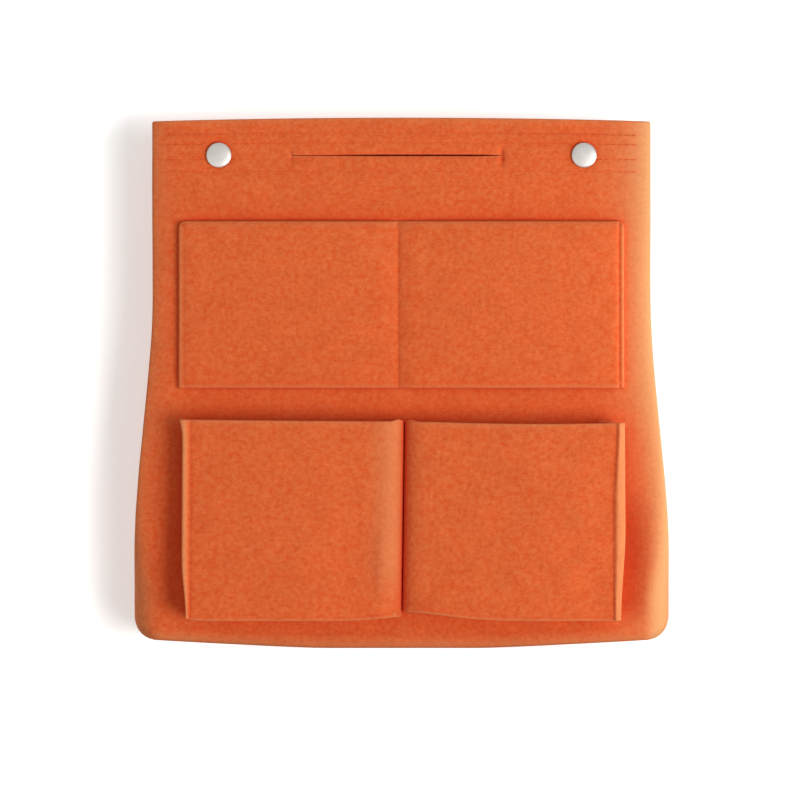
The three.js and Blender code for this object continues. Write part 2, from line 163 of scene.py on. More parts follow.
class OrganizerStuds(bpy.types.PropertyGroup):
    """Sizes of the press studs that the frame doesn't give."""

    rim: length("Cap rim", "Height of the cap's rounded rim", 0.7 * MM)
    dent: length("Dent", "How far a stud draws the felt in round its rim", 0.7 * MM)


class OrganizerColours(bpy.types.PropertyGroup):
    """Colours of the finishes, with a painted shade tone and a pale edge tone that also serves as painted
    highlight.
    """

    felt: colour("Felt", "Middle tone of the felt", (0.74, 0.152, 0.043))
    felt_deep: colour("Felt, deep", "Tone between the fibres", (0.68, 0.083, 0.0135))
    felt_pale: colour("Felt, pale", "Tone of single pale fibres", (0.82, 0.27, 0.088))
    # Pale tone of cut edges, also laid on lit edges, lips and the foot as a painted highlight
    felt_edge_tone_and_highlight: colour("Felt, rubbed", "Tone of cut and rubbed edges", (0.72, 0.375, 0.155))
    # Painted shade: the deeper, redder tone that the felt is tinted to where ambient occlusion finds hollows
    felt_shade: colour("Felt in hollows", "Tone where felt faces felt", (0.73, 0.044, 0.006))
    thread: colour("Thread", "Sewing thread", (0.69, 0.125, 0.032))
    nickel: colour("Nickel", "Satin nickel of the press studs", (0.55, 0.523, 0.492))


class OrganizerStage(bpy.types.PropertyGroup):
    """Light, ground and camera."""

    distance: length("Camera distance", "From the camera to the organizer", 3.0)
    view_width: length("View width", "Width of what the camera sees at the organizer", 0.3975)
    view_x: length("View centre, sideways", "Sideways place of the picture's middle", -0.75 * MM)
    view_z: length("View centre, height", "Height of the picture's middle", 123.2 * MM)
    ambient: share("Ambient", "Strength of the light from all round", 0.56, 5.0)
    key: share("Key", "Watts of the large soft lamp", 97.0, 500.0)
    rim: share("Rim", "Watts of the strip lamp beside the right edge", 0.2, 500.0)
    fill: share("Fill", "Watts of the lamp for the sides in the large lamp's shade", 9.0, 500.0)
    floor_grey: share("Floor grey", "Grey value of the floor", 0.62)
    floor_glow: share("Floor glow", "What the camera sees added to the floor", 0.95)
    backdrop_grey: share("Backdrop grey", "Grey value of the backdrop", 0.63)
    backdrop_glow: share("Backdrop glow", "What the camera sees added to the backdrop", 0.45)
    backdrop_fade: share("Backdrop fade", "What is added to that past the shadow's edges", 0.4)


def settings(name):
    """One of the property groups above, by the last word of its name on the scene."""
    return getattr(bpy.context.scene, "organizer_" + name)


# Curves that several pieces share
BROAD_WAVES, NARROW_WAVES, NARROW_SHARE = 19, 62, 0.28  # waves to a metre, and the narrow ones' strength
LIFT_POWER = 1.2


def ease(t):
    """0 up to t = 0, 1 from t = 1, and a smooth step between."""
    t = min(max(t, 0.0), 1.0)
    return t * t * (3 - 2 * t)


def arch(t):
    """0 at t = 0 and t = 1, and 1 between them."""
    t = min(max(t, 0.0), 1.0)
    return 4 * t * (1 - t)


def bump(distance, width):
    """1 on a line or point, falling to nothing beyond width."""
    return math.exp(-(distance / width) ** 2)


def mix(a, b, t):
    """From a to b as t goes from 0 to 1."""
    return a + (b - a) * t


def wave_at(x, y, z):
    """Soft waves of the felt at a point, from about -1 to 1."""
    broad = noise.noise(Vector((x, y, z)) * BROAD_WAVES)
    narrow = noise.noise(Vector((x + 3, y, z)) * NARROW_WAVES)
    return broad + NARROW_SHARE * narrow


def depth_at(z):
    """Distance from the middle plane to the outer face of front or back at a height."""
    body = settings("body")
    t = (body.flare_height - z) / (body.flare_height - body.full_depth_height)
    return mix(TOP_DEPTH, BASE_DEPTH, ease(t))


def half_width_at(z):
    """Half the width of the body at a height."""
    body = settings("body")
    t = (body.flare_height - z) / (body.flare_height - body.widest_height)
    return mix(TOP_HALF_WIDTH, BASE_HALF_WIDTH, ease(t))


def lift_at(x):
    """How far the underside is off the ground at a distance from the middle."""
    body = settings("body")
    t = (abs(x) - body.flat_half) / (BASE_HALF_WIDTH - body.side_roll - body.flat_half)
    return body.base_lift * max(t, 0.0) ** LIFT_POWER


def crown_at(x, up):
    """How far the mouth's crown lowers a point at a height."""
    within = ease((up - FACING_LOW.z) / (HEIGHT - FACING_LOW.z))
    return settings("body").top_crown * (x / TOP_HALF_WIDTH) ** 2 * within


def grid_lines(start, stop, step, kept=()):
    """Even lines about a step apart, with the kept lines among them and none too near to those."""
    count = max(1, round((stop - start) / step))
    even = [mix(start, stop, i / count) for i in range(1, count)]
    clear = [v for v in even if all(abs(v - k) > 0.5 * step for k in kept)]
    return sorted({start, stop, *clear, *kept})


def seam_lines(place):
    """Grid lines close enough together to hold the groove of a seam."""
    width = settings("stitching").groove_width
    return [place + width * k for k in (-1.6, -0.8, 0.0, 0.8, 1.6)]


def edge_lines(start, stop):
    """Grid lines just inside both edges, which keep the cut edge square with a soft corner."""
    return [start + 0.8 * MM, stop - 0.8 * MM]


# Making objects
EDGE_FADE = 0.3  # how much of a cut edge's look the points beside it have
SAME_PLACE = 1e-7


def placed(name, bm, material):
    """Turns a bmesh into an object at the origin, with its material."""
    mesh = bpy.data.meshes.new(name)
    bm.to_mesh(mesh)
    bm.free()
    made = bpy.data.objects.new(name, mesh)
    bpy.context.scene.collection.objects.link(made)
    mesh.materials.append(material)
    return made


def finished(name, bm, material):
    """A smooth piece of the organizer, with its material."""
    for face in bm.faces:
        face.smooth = True
    made = placed(name, bm, material)
    return made


def open_slit(bm, height, start, stop, opening):
    """Splits the flat grid along a line and parts its two lips."""
    def on_line(v):
        return abs(v.co.y - height) < SAME_PLACE and start - SAME_PLACE <= v.co.x <= stop + SAME_PLACE
    line = [e for e in bm.edges if on_line(e.verts[0]) and on_line(e.verts[1])]
    if not line:
        raise RuntimeError("the grid has no line for the hand slot")
    bmesh.ops.split_edges(bm, edges=line)
    lips = [v for v in bm.verts if on_line(v) and start + SAME_PLACE < v.co.x < stop - SAME_PLACE]
    above = {v: any(f.calc_center_median().y > height for f in v.link_faces) for v in lips}
    for v in lips:
        gape = opening((v.co.x - start) / (stop - start)) / 2
        v.co.y += gape if above[v] else -gape


def felt_sheet(name, nodes, across, up, place, slit=None, edge_tone_and_highlight=None):
    """A closed sheet of felt on a grid, in place of CAD nodes.

    place(across, up, face) gives each point: face 1 shows, 0 is behind. The last argument, given (across, up),
    tells how far felt that has no cut edge takes the cut edges' pale tone: as painted highlight where light
    falls on it, and as a paler tone elsewhere.
    """
    bm = bmesh.new()
    columns, rows = len(across) - 1, len(up) - 1
    bmesh.ops.create_grid(bm, x_segments=columns, y_segments=rows, size=0.5)
    for v in bm.verts:
        v.co = (across[round((v.co.x + 0.5) * columns)], up[round((v.co.y + 0.5) * rows)], 0)
    if slit:
        open_slit(bm, *slit)
    rim = bm.verts.layers.float.new("cut_edge_and_highlight")
    for v in bm.verts:
        near = any(e.other_vert(v).is_boundary for e in v.link_edges)
        v[rim] = 1.0 if v.is_boundary else EDGE_FADE * near
        if edge_tone_and_highlight:
            v[rim] = max(v[rim], edge_tone_and_highlight(v.co.x, v.co.y))
    made = bmesh.ops.extrude_face_region(bm, geom=bm.faces[:], use_keep_orig=True)
    shown = [g for g in made["geom"] if isinstance(g, bmesh.types.BMVert)]
    bmesh.ops.translate(bm, verts=shown, vec=(0, 0, 1))
    for v in bm.verts:
        v.co = place(*v.co)
    bmesh.ops.recalc_face_normals(bm, faces=bm.faces[:])
    made = finished(name, bm, material("pressed_wool", pressed_wool))
    smooth = made.modifiers.new("Subdivision", "SUBSURF")
    smooth.levels = smooth.render_levels = 1
    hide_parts(*nodes)
    return made


# Shader nodes
def feed(tree, made, inputs):
    """Sets a node's inputs to plain values, or links sockets to them."""
    for key, value in inputs.items():
        if isinstance(value, bpy.types.NodeSocket):
            tree.links.new(value, made.inputs[key])
        else:
            made.inputs[key].default_value = value


def node(tree, kind, inputs, **attributes):
    """Adds a node, sets its attributes and feeds its inputs. Gives its outputs."""
    made = tree.nodes.new(kind)
    for key, value in attributes.items():
        setattr(made, key, value)
    feed(tree, made, inputs)
    return made.outputs


def worked(tree, operation, *inputs, **attributes):
    """What a Math node makes of its inputs."""
    return node(tree, "ShaderNodeMath", dict(enumerate(inputs)), operation=operation, **attributes)[0]


def vector_worked(tree, operation, inputs):
    """What a Vector Math node makes of its inputs."""
    return node(tree, "ShaderNodeVectorMath", inputs, operation=operation)[0]


def ranged(tree, value, low, high, start=0.0, stop=1.0, **attributes):
    """A value between low and high, carried to the range from start to stop."""
    limits = {"From Min": low, "From Max": high, "To Min": start, "To Max": stop}
    return node(tree, "ShaderNodeMapRange", {"Value": value, **limits}, **attributes)[0]


def flipped(tree, value):
    """1 less a value between 0 and 1."""
    return ranged(tree, value, 0.0, 1.0, 1.0, 0.0)


def tinted(tree, factor, a, b):
    """Colour a, turning to b as factor goes to 1. A colour is a socket or three numbers."""
    a, b = (c if isinstance(c, bpy.types.NodeSocket) else (*c, 1) for c in (a, b))
    return node(tree, "ShaderNodeMix", {"Factor": factor, "A": a, "B": b}, data_type="RGBA")["Result"]


def speckled(tree, place, scale, detail, roughness=0.5):
    """The outputs of a noise texture."""
    return node(tree, "ShaderNodeTexNoise", {
        "Vector": place, "Scale": scale, "Detail": detail, "Roughness": roughness})


def relief(tree, height, strength, distance):
    """The normal of a surface with a fine relief."""
    return node(tree, "ShaderNodeBump", {
        "Height": height, "Strength": strength, "Distance": distance})["Normal"]


def material(name, build):
    """The material of that name. build(tree) gives its surface's inputs when it is first asked for."""
    made = bpy.data.materials.get(name)
    if made is None:
        made = bpy.data.materials.new(name)
        made.use_nodes = True
        tree = made.node_tree
        feed(tree, tree.nodes["Principled BSDF"], build(tree))
    return made


def fibres(tree, fineness):
    """Wool pressed into felt, as a group: fine crossing fibres, small clots, broad clouds and their height."""
    group = bpy.data.node_groups.get("wool_fibres")
    if group is None:
        group = bpy.data.node_groups.new("wool_fibres", "ShaderNodeTree")
        for name in ("Fibre", "Clots", "Clouds", "Height"):
            group.interface.new_socket(name, in_out="OUTPUT", socket_type="NodeSocketFloat")
        group.interface.new_socket("Fineness", in_out="INPUT", socket_type="NodeSocketFloat")
        fill_fibres(group)
    return node(tree, "ShaderNodeGroup", {"Fineness": fineness}, node_tree=group)


FIBRE_TURNS = ((0.3, 0.1, 0.2), (0.2, 0.9, -0.3), (-0.3, 1.9, 0.5), (0.1, 2.6, 1.2))
FIBRE_SCALE = (240.0, 1500.0, 1500.0)
FIBRE_BEND = (2.2 * MM,) * 3


def fill_fibres(tree):
    """The nodes in the group of the fibres."""
    place = node(tree, "ShaderNodeTexCoord", {})["Object"]
    fineness = node(tree, "NodeGroupInput", {})["Fineness"]
    scaled = vector_worked(tree, "SCALE", {0: place, "Scale": fineness})
    bend = speckled(tree, scaled, 260.0, 2.0)["Color"]
    bent = vector_worked(tree, "MULTIPLY_ADD", {0: bend, 1: FIBRE_BEND, 2: scaled})
    strands = None
    for turn in FIBRE_TURNS:
        laid = node(tree, "ShaderNodeMapping", {"Vector": bent, "Rotation": turn, "Scale": FIBRE_SCALE})[0]
        strand = speckled(tree, laid, 1.0, 3.0, 0.6)["Fac"]
        strands = strand if strands is None else worked(tree, "MAXIMUM", strands, strand)
    fibre = ranged(tree, strands, 0.48, 0.78)
    clots = ranged(tree, speckled(tree, scaled, 430.0, 3.0, 0.62)["Fac"], 0.34, 0.66)
    clouds = ranged(tree, speckled(tree, scaled, 85.0, 4.0, 0.6)["Fac"], 0.3, 0.7)
    height = worked(tree, "MULTIPLY_ADD", clots, 0.55, fibre)
    node(tree, "NodeGroupOutput", {"Fibre": fibre, "Clots": clots, "Clouds": clouds, "Height": height})


def pressed_wool(tree):
    """Pressed wool felt: matt, mottled, with a soft nap that catches light at the edges, painted shade in its
    hollows and a pale edge tone that is partly its cut edges' own and partly painted highlight.
    """
    colours = settings("colours")
    wool = fibres(tree, 1.0)
    tone = tinted(tree, wool["Clots"], colours.felt_deep, colours.felt)
    tone = tinted(tree, worked(tree, "MULTIPLY", wool["Fibre"], 0.34), tone, colours.felt_pale)
    value = ranged(tree, wool["Clouds"], 0.0, 1.0, 0.93, 1.05)
    tone = node(tree, "ShaderNodeHueSaturation", {"Value": value, "Color": tone})["Color"]
    # The pale edge tone: the felt's own at cut edges, and a painted highlight where the mask reaches lit edges,
    # lips and the foot
    cut = node(tree, "ShaderNodeAttribute", {}, attribute_name="cut_edge_and_highlight")["Fac"]
    edge_tone_and_highlight = worked(tree, "MULTIPLY", cut, 0.4, use_clamp=True)
    tone = tinted(tree, edge_tone_and_highlight, tone, colours.felt_edge_tone_and_highlight)

    # Painted shade: the felt takes the deeper felt_shade tone where ambient occlusion finds felt near, and what
    # lies below a point counts for most
    normal = node(tree, "ShaderNodeNewGeometry", {})["Normal"]
    lowered = vector_worked(tree, "ADD", {0: normal, 1: (0, 0, -0.8)})
    downward = vector_worked(tree, "NORMALIZE", {0: lowered})
    air = node(tree, "ShaderNodeAmbientOcclusion", {"Distance": 35 * MM, "Normal": downward}, samples=3)["AO"]
    hollow = ranged(tree, air, 0.82, 0.20)

    turned = node(tree, "ShaderNodeLayerWeight", {"Blend": 0.5})["Facing"]
    nap = worked(tree, "MULTIPLY", ranged(tree, turned, 0.03, 0.42, 0.08, 0.36), flipped(tree, cut))
    return {
        "Base Color": tinted(tree, hollow, tone, colours.felt_shade),
        "Roughness": 0.95,
        "Specular IOR Level": 0.15,
        "Sheen Weight": worked(tree, "MULTIPLY", nap, flipped(tree, hollow)),
        "Sheen Roughness": 0.5,
        "Sheen Tint": (0.95, 0.66, 0.32, 1.0),
        "Normal": relief(tree, wool["Height"], 0.55, 0.28 * MM),
    }


def spun_thread(tree):
    """Spun sewing thread in the felt's colour."""
    colours = settings("colours")
    wool = fibres(tree, 3.0)
    return {
        "Base Color": tinted(tree, wool["Fibre"], colours.thread, colours.felt),
        "Roughness": 0.7,
        "Specular IOR Level": 0.3,
        "Sheen Weight": 0.05,
        "Normal": relief(tree, wool["Height"], 0.4, 0.08 * MM),
    }


def tumbled_nickel(tree):
    """Satin nickel plate: a fine tumbled grain and faint handling marks."""
    nickel = settings("colours").nickel
    place = node(tree, "ShaderNodeTexCoord", {})["Object"]
    grain = speckled(tree, place, 4200.0, 3.0, 0.6)["Fac"]
    marks = speckled(tree, place, 420.0, 5.0, 0.7)["Fac"]
    return {
        "Metallic": 1.0,
        "Base Color": tinted(tree, marks, [c * 0.86 for c in nickel], nickel),
        "Roughness": ranged(tree, marks, 0.0, 1.0, 0.3, 0.5),
        "Normal": relief(tree, grain, 0.25, 0.02 * MM),
    }


# The shell: front or back panel, its rolled side edges and the halves of the side gussets
PANEL_END, ROLL_END, LEG_END, CREASE_END = 1.0, 2.0, 3.0, 4.0
CREASE_INSET = 2 * MM
LEG_SLACK = 1 * MM
ROLL_PULL, DEEP_ROLL_PULL_LOSS = 4 / 3, 0.78
ROLL_CHANGE, ROLL_CHANGE_WIDTH = 0.86, 0.9  # stations over which the front roll turns into the side roll
LIFT_FADE, WAVE_FADE = 60 * MM, 12 * MM
ROW_STEP = 4.2 * MM
PLANS = {}


def bezier(points, t):
    """A point on the cubic curve of four points, and its direction."""
    a, b, c, d = points
    s = 1 - t
    place = a * s ** 3 + b * 3 * s * s * t + c * 3 * s * t * t + d * t ** 3
    course = (b - a) * s * s + (c - b) * 2 * s * t + (d - c) * t * t
    return place, course.normalized()


def plan_at(z, inset):
    """The plan of the shell's right half at a height, at inset from its outer face."""
    key = (round(z, 6), round(inset, 6))
    if key in PLANS:
        return PLANS[key]
    body = settings("body")
    depth = depth_at(z)
    half = half_width_at(z)
    lean = math.asin((depth - TOP_DEPTH) / (BASE_DEPTH - TOP_DEPTH))
    along = Vector((math.cos(lean), -math.sin(lean)))
    across = Vector((-math.sin(lean), -math.cos(lean)))
    fold = (FELT + 2 * HALF_FOLD_GAP) / 2
    crease = Vector((half - CREASE_INSET - CREASE_REACH * along.x + fold * math.sin(lean), 0))
    leg_length = CREASE_REACH + CREASE_INSET + LEG_SLACK * math.sin(lean) - body.edge_roll

    def at_inset(inset):
        leg_start = crease + across * (HALF_FOLD_GAP + inset)
        leg_end = leg_start + along * leg_length
        panel_end = Vector((half - body.edge_roll, -depth + inset))
        pull = (body.edge_roll - inset) * (ROLL_PULL - DEEP_ROLL_PULL_LOSS * math.sin(lean) ** 2)
        corner = (panel_end, panel_end + Vector((pull, 0)), leg_end + along * pull, leg_end)
        return leg_start, corner

    leg_start, corner = at_inset(inset)
    outer = at_inset(0)[1]
    widest = max(bezier(outer, i / 12)[0].x for i in range(13))
    shift = Vector((half - widest, 0))
    PLANS[key] = {
        "corner": [p + shift for p in corner],
        "leg_start": leg_start + shift,
        "crease": crease + shift,
        "offset": HALF_FOLD_GAP + inset,
        "lean": lean,
        "along": along,
    }
    return PLANS[key]


def wall_at(station, z, inset):
    """A point of the shell in plan, and the way that its outer face looks there."""
    plan = plan_at(z, inset)
    place = abs(station)
    if place <= PANEL_END:
        point = Vector((plan["corner"][0].x * place, plan["corner"][0].y))
        out = Vector((0, -1))
    elif place <= ROLL_END:
        point, course = bezier(plan["corner"], place - PANEL_END)
        out = Vector((course.y, -course.x))
    elif place <= LEG_END:
        point = plan["corner"][3].lerp(plan["leg_start"], place - ROLL_END)
        out = Vector((-plan["along"].y, plan["along"].x))
    else:
        turn = (CREASE_END - place) * (math.pi / 2 - plan["lean"])
        out = Vector((math.cos(turn), math.sin(turn)))
        point = Vector((plan["crease"].x - plan["offset"] * out.x, -plan["offset"] * out.y))
    side = -1 if station < 0 else 1
    return Vector((point.x * side, point.y)), Vector((out.x * side, out.y))


def shell_point(station, up, face, squeeze=0.0, dents=None):
    """A point of the front shell. up is the height, or the way round the lower edge below its roll."""
    body = settings("body")
    inset = mix(FELT - squeeze, squeeze, face)
    roll = mix(body.front_roll, body.side_roll, ease((abs(station) - ROLL_CHANGE) / ROLL_CHANGE_WIDTH))
    z = max(up, roll)
    point, out = wall_at(station, z, inset)
    if up < roll:
        turn = up / roll * math.pi / 2
        point -= out * (roll - inset) * (1 - math.sin(turn))
        z = inset + (roll - inset) * (1 - math.cos(turn))
    z += lift_at(point.x) * (1 - ease(up / LIFT_FADE))
    z -= crown_at(point.x, up)
    push = body.wave * wave_at(point.x, point.y, z) * ease(up / WAVE_FADE)
    if dents and face > 0.5:
        push -= dents(point.x, z)
    point += out * push
    return Vector((point.x, point.y, z))


# The rows of stitches below the mouth's edge and how strongly each draws the felt in, and the same for the
# bar tacks at the left and right ends of the hand slot
BAND_DROPS = (7.9 * MM, 12.9 * MM, 20.9 * MM, 27.2 * MM)
BAND_STRENGTHS = (0.5, 0.35, 0.45, 0.55)
BAND_INSET, BAND_FADE = 6 * MM, 5 * MM
TACK_STRENGTHS = (1.4, 3.6)
TACK_HALF, TACK_FADE, TACK_WIDTH = 3 * MM, 1.5 * MM, 0.9 * MM
DENT_START, DENT_WIDTH = 0.7 * CAP_RADIUS, 3.4 * MM


def slot_ends():
    """Sideways places of the hand slot's ends."""
    body = settings("body")
    return [body.slot_centre + side * body.slot_length / 2 for side in (-1, 1)]


def slot_stations():
    """Where the hand slot starts and ends across the panel."""
    half = TOP_HALF_WIDTH - settings("body").edge_roll
    return [end / half for end in slot_ends()]


def band_dents(x, z):
    """How far the seams, the studs and the bar tacks draw in the felt below the mouth's edge."""
    stitching = settings("stitching")
    depth = 0.0
    fade = 1 - ease((abs(x) - TOP_HALF_WIDTH + BAND_INSET) / BAND_FADE)
    for drop, strength in zip(BAND_DROPS, BAND_STRENGTHS):
        depth += strength * fade * stitching.groove * bump(z - HEIGHT + drop, stitching.groove_width * 0.8)
    away = math.hypot(abs(x) - STUD_X, z - STUD_Z)
    depth += settings("studs").dent * bump(max(away - DENT_START, 0), DENT_WIDTH)
    tall = 1 - ease((abs(z - STUD_Z) - TACK_HALF) / TACK_FADE)
    for tack, strength in zip(slot_ends(), TACK_STRENGTHS):
        depth += strength * tall * stitching.groove * bump(x - tack, TACK_WIDTH)
    return depth


def roll_rows():
    """Grid lines round the lower edge."""
    return [settings("body").side_roll * k for k in (0.12, 0.25, 0.45, 0.7, 1.0)]


def shell_rows():
    """Grid lines up the shell, close together at the lower roll, the seams and the hand slot."""
    kept = roll_rows()
    for drop in BAND_DROPS:
        kept += seam_lines(HEIGHT - drop)
    kept += [STUD_Z + k * MM for k in (-2.4, -1.2, -0.5, 0, 0.5, 1.2, 2.2)]
    kept += edge_lines(0, HEIGHT)[1:]
    rows = sorted(set(kept))
    spread = [rows[0]]
    for row in rows[1:]:
        if row - spread[-1] > 0.35 * MM or row == STUD_Z:
            spread.append(row)
    return grid_lines(0.0, HEIGHT, ROW_STEP, spread)


def shell_columns():
    """Grid lines across the shell, from one rolled edge to the other."""
    kept = [end + k for end in slot_stations() for k in (-0.018, -0.008, 0, 0.008, 0.018)]
    panel = grid_lines(-PANEL_END, PANEL_END, 0.038, kept)
    roll = [PANEL_END + k / 9 for k in range(1, 10)]
    return [-k for k in reversed(roll)] + panel + roll


def slot_gape(strength):
    """How far the lips part along the slot: shut at the left, widest right of the middle."""
    shut = 0.05 * MM
    more = max(settings("body").slot_open * strength - shut, 0)
    return lambda t: shut + more * ease((t - 0.1) / 0.35) * ease((1 - t) / 0.12)


# The hollows beside the box pockets: their place and half width, the left one's share of the depth, and the
# heights over which they deepen and fade
HOLLOW_INSET, HOLLOW_WIDTH, LEFT_HOLLOW = 2.5 * MM, 9 * MM, 0.3
HOLLOW_FOOT, HOLLOW_RISE, HOLLOW_TOP, HOLLOW_FADE = 8 * MM, 14 * MM, 50 * MM, 40 * MM


def side_hollow(x, z):
    """How far the front sinks in beside the feet of the box pockets."""
    beside = bump(abs(x) - FLANGE_EDGE + HOLLOW_INSET, HOLLOW_WIDTH) * (1.0 if x > 0 else LEFT_HOLLOW)
    upright = ease((z - HOLLOW_FOOT) / HOLLOW_RISE) * (1 - ease((z - HOLLOW_TOP) / HOLLOW_FADE))
    return settings("body").hollow * beside * upright


# How pale the shell is painted: a painted highlight on the front's lit right edge and along the foot, and a
# paler tone on its other rolled edges. For the edges, the strength, the station where it starts and the
# stations over which it grows
RIGHT_EDGE_HIGHLIGHT, OTHER_EDGE_PALENESS = (2.2, 0.8, 0.62), (0.8, 0.97, 0.7)
EDGE_PALENESS_END, EDGE_PALENESS_FADE = 0.4, 0.7
FOOT_HIGHLIGHT, FOOT_HIGHLIGHT_HEIGHT = 1.1, 7 * MM


def shell_tone_and_highlight(station, up, facing):
    """How pale the shell is painted: a painted highlight along its foot and on the front's lit right edge, and
    a paler tone on its other rolled edges.
    """
    place = abs(station)
    strength, start, growth = RIGHT_EDGE_HIGHLIGHT if station > 0 and facing > 0 else OTHER_EDGE_PALENESS
    side = strength * ease((place - start) / growth) * (1 - ease((place - ROLL_END + EDGE_PALENESS_END) / EDGE_PALENESS_FADE))
    return max(side, FOOT_HIGHLIGHT * (1 - ease(up / FOOT_HIGHLIGHT_HEIGHT)))


# The hand slot lies in a groove, and its lower lip stands proud: the depth or height of each, its half width,
# and how far below the slot the lip is
SLOT_GROOVE, SLOT_GROOVE_WIDTH = 1.1 * MM, 1.2 * MM
SLOT_LIP, SLOT_LIP_WIDTH, SLOT_LIP_DROP = 0.35 * MM, 1.0 * MM, 0.9 * MM


def make_shell(word, facing, gape):
    """The front shell (facing 1), or the back one, which is its mirror image (facing -1)."""
    start, stop = slot_stations()
    up = shell_rows()
    level = min(up, key=lambda row: abs(row - STUD_Z))

    def place(station, height, face):
        point = shell_point(station, height, face, dents=band_dents)
        within = ease((station - start) / 0.1)
        sunk = SLOT_GROOVE * bump(height - level, SLOT_GROOVE_WIDTH) * within * ease((stop - station) / 0.03)
        lip = bump(height - level + SLOT_LIP_DROP, SLOT_LIP_WIDTH)
        proud = SLOT_LIP * lip * within * ease((stop - station) / 0.1)
        point.y += (sunk - proud) * face
        if facing > 0:
            point.y += side_hollow(point.x, height)
        return Vector((point.x, point.y * facing, point.z))
    made = felt_sheet(f"{word}_felt", [f"{word}_panel"], shell_columns(), up, place,
                      (level, start, stop, slot_gape(gape)),
                      edge_tone_and_highlight=lambda station, height: shell_tone_and_highlight(station, height, facing))
    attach(made, word)


GUSSET_STATIONS = (1.72, 1.84, 1.93, 2.0, 2.25, 2.5, 2.75, 3.0, 3.25, 3.5, 3.75, 4.0, 4.06)
GUSSET_BEND_X, GUSSET_BEND_WIDTH = 124 * MM, 18 * MM


def bend(made, bodies, slope, start, width, lead=0.0):
    """Bakes the piece's transform into its mesh; the bodies, the slope and the width are not used."""
    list(bodies)
    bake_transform(made)


def make_gusset_half(word, side, wall, facing):
    """Half of a side gusset, from the rolled edge to the crease."""
    def place(station, height, face):
        tuck = ease((2.0 - station) / 0.06) + (ease((station - 4.0) / 0.04) if facing > 0 else 0)
        point = shell_point(station * side, height, face, squeeze=0.14 * MM * tuck)
        return Vector((point.x, point.y * facing, point.z))
    rows = grid_lines(0.0, HEIGHT, ROW_STEP, roll_rows() + edge_lines(0, HEIGHT)[1:])
    made = felt_sheet(f"{word}_gusset_{wall}_half", [f"{word}_side_gusset"], GUSSET_STATIONS, rows, place,
                      edge_tone_and_highlight=lambda station, height: shell_tone_and_highlight(station * side, height, facing))
    bend(made, ("base", wall), Vector((side, -facing, 0.1)), Vector((side * GUSSET_BEND_X, 0, 0)),
         GUSSET_BEND_WIDTH)


class ORGANIZER_OT_shells(bpy.types.Operator):
    """Makes the front and back panels with their rolled side edges."""

    bl_idname = "organizer.shells"
    bl_label = "Front and back"

    def execute(self, context):
        make_shell("front", 1, 1.0)
        make_shell("back", -1, 0.12)
        return {"FINISHED"}


class ORGANIZER_OT_gussets(bpy.types.Operator):
    """Makes the side gussets, each in a front and a back half that meet at the crease."""

    bl_idname = "organizer.gussets"
    bl_label = "Side gussets"

    def execute(self, context):
        for word, side in SIDES:
            for wall, facing in WALLS:
                make_gusset_half(word, side, wall, facing)
        return {"FINISHED"}


class ORGANIZER_OT_base(bpy.types.Operator):
    """Makes the strip of felt that the organizer stands on."""

    bl_idname = "organizer.base"
    bl_label = "Base"

    def execute(self, context):
        body = settings("body")
        overlap, tuck, tuck_width, loft = 0.6 * MM, 0.12 * MM, 3 * MM, 0.2 * MM
        x_end = BASE_HALF_WIDTH - body.side_roll + overlap
        y_end = BASE_DEPTH - body.front_roll + overlap

        def place(x, y, face):
            past = max(abs(x) - x_end, abs(y) - y_end)
            under = tuck * ease((past + tuck_width) / MM)
            z = lift_at(x) + mix(FELT - under, under, face)
            z += loft * (1 + wave_at(x, y, 0)) * (1 - face)
            return Vector((x, y, z))
        across = grid_lines(-x_end, x_end, 5 * MM, edge_lines(-x_end, x_end))
        up = grid_lines(-y_end, y_end, 4 * MM, edge_lines(-y_end, y_end))
        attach(felt_sheet("base_felt", ["base_panel"], across, up, place), "base")
        return {"FINISHED"}


class ORGANIZER_OT_facings(bpy.types.Operator):
    """Makes the bands of felt behind the mouth's edge."""

    bl_idname = "organizer.facings"
    bl_label = "Facings"

    def execute(self, context):
        half = FACING_HIGH.x
        start, stop = slot_ends()
        columns = grid_lines(-half, half, 5 * MM, [start, stop, *edge_lines(-half, half)])
        rows = [STUD_Z + k * MM for k in (-1.2, 0, 1.2)] + edge_lines(FACING_LOW.z, HEIGHT)
        rows = grid_lines(FACING_LOW.z, HEIGHT, 4 * MM, rows)
        for word, facing in WALLS:
            def place(x, z, face, facing=facing):
                press = sum(bump(z - HEIGHT + drop, MM) for drop in (BAND_DROPS[0], BAND_DROPS[3]))
                y = HALF_FOLD_GAP + FELT * face + 0.3 * MM * press * (1 - face)
                return Vector((x, -y * facing, z - crown_at(x, z)))
            made = felt_sheet(f"{word}_facing_felt", [f"{word}_facing"], columns, rows, place,
                              (STUD_Z, start, stop, slot_gape(0.12)))
            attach(made, word)
        return {"FINISHED"}


# How strongly the flat pockets' felt is drawn in: at its left, right, foot and middle seams, in a broad dip by
# the middle one, and at its left, right, foot and mouth edges
UPPER_SEAM_PULLS = (0.25, 1.8, 1.3, 1.4)
UPPER_DIP, UPPER_DIP_WIDTH = 0.8, 4 * MM
UPPER_EDGE_PULLS = (0.9, 2.3, 2.3, 2.3)
UPPER_BACK_PULL, UPPER_BACK_WIDTH = 0.9 * MM, 1.5 * MM
UPPER_CORNER_START, UPPER_CORNER_SPAN = 0.94, 0.06  # shares of its height
# Strength of the painted highlight beside the flat pockets' raw edges
UPPER_HIGHLIGHT = 0.6


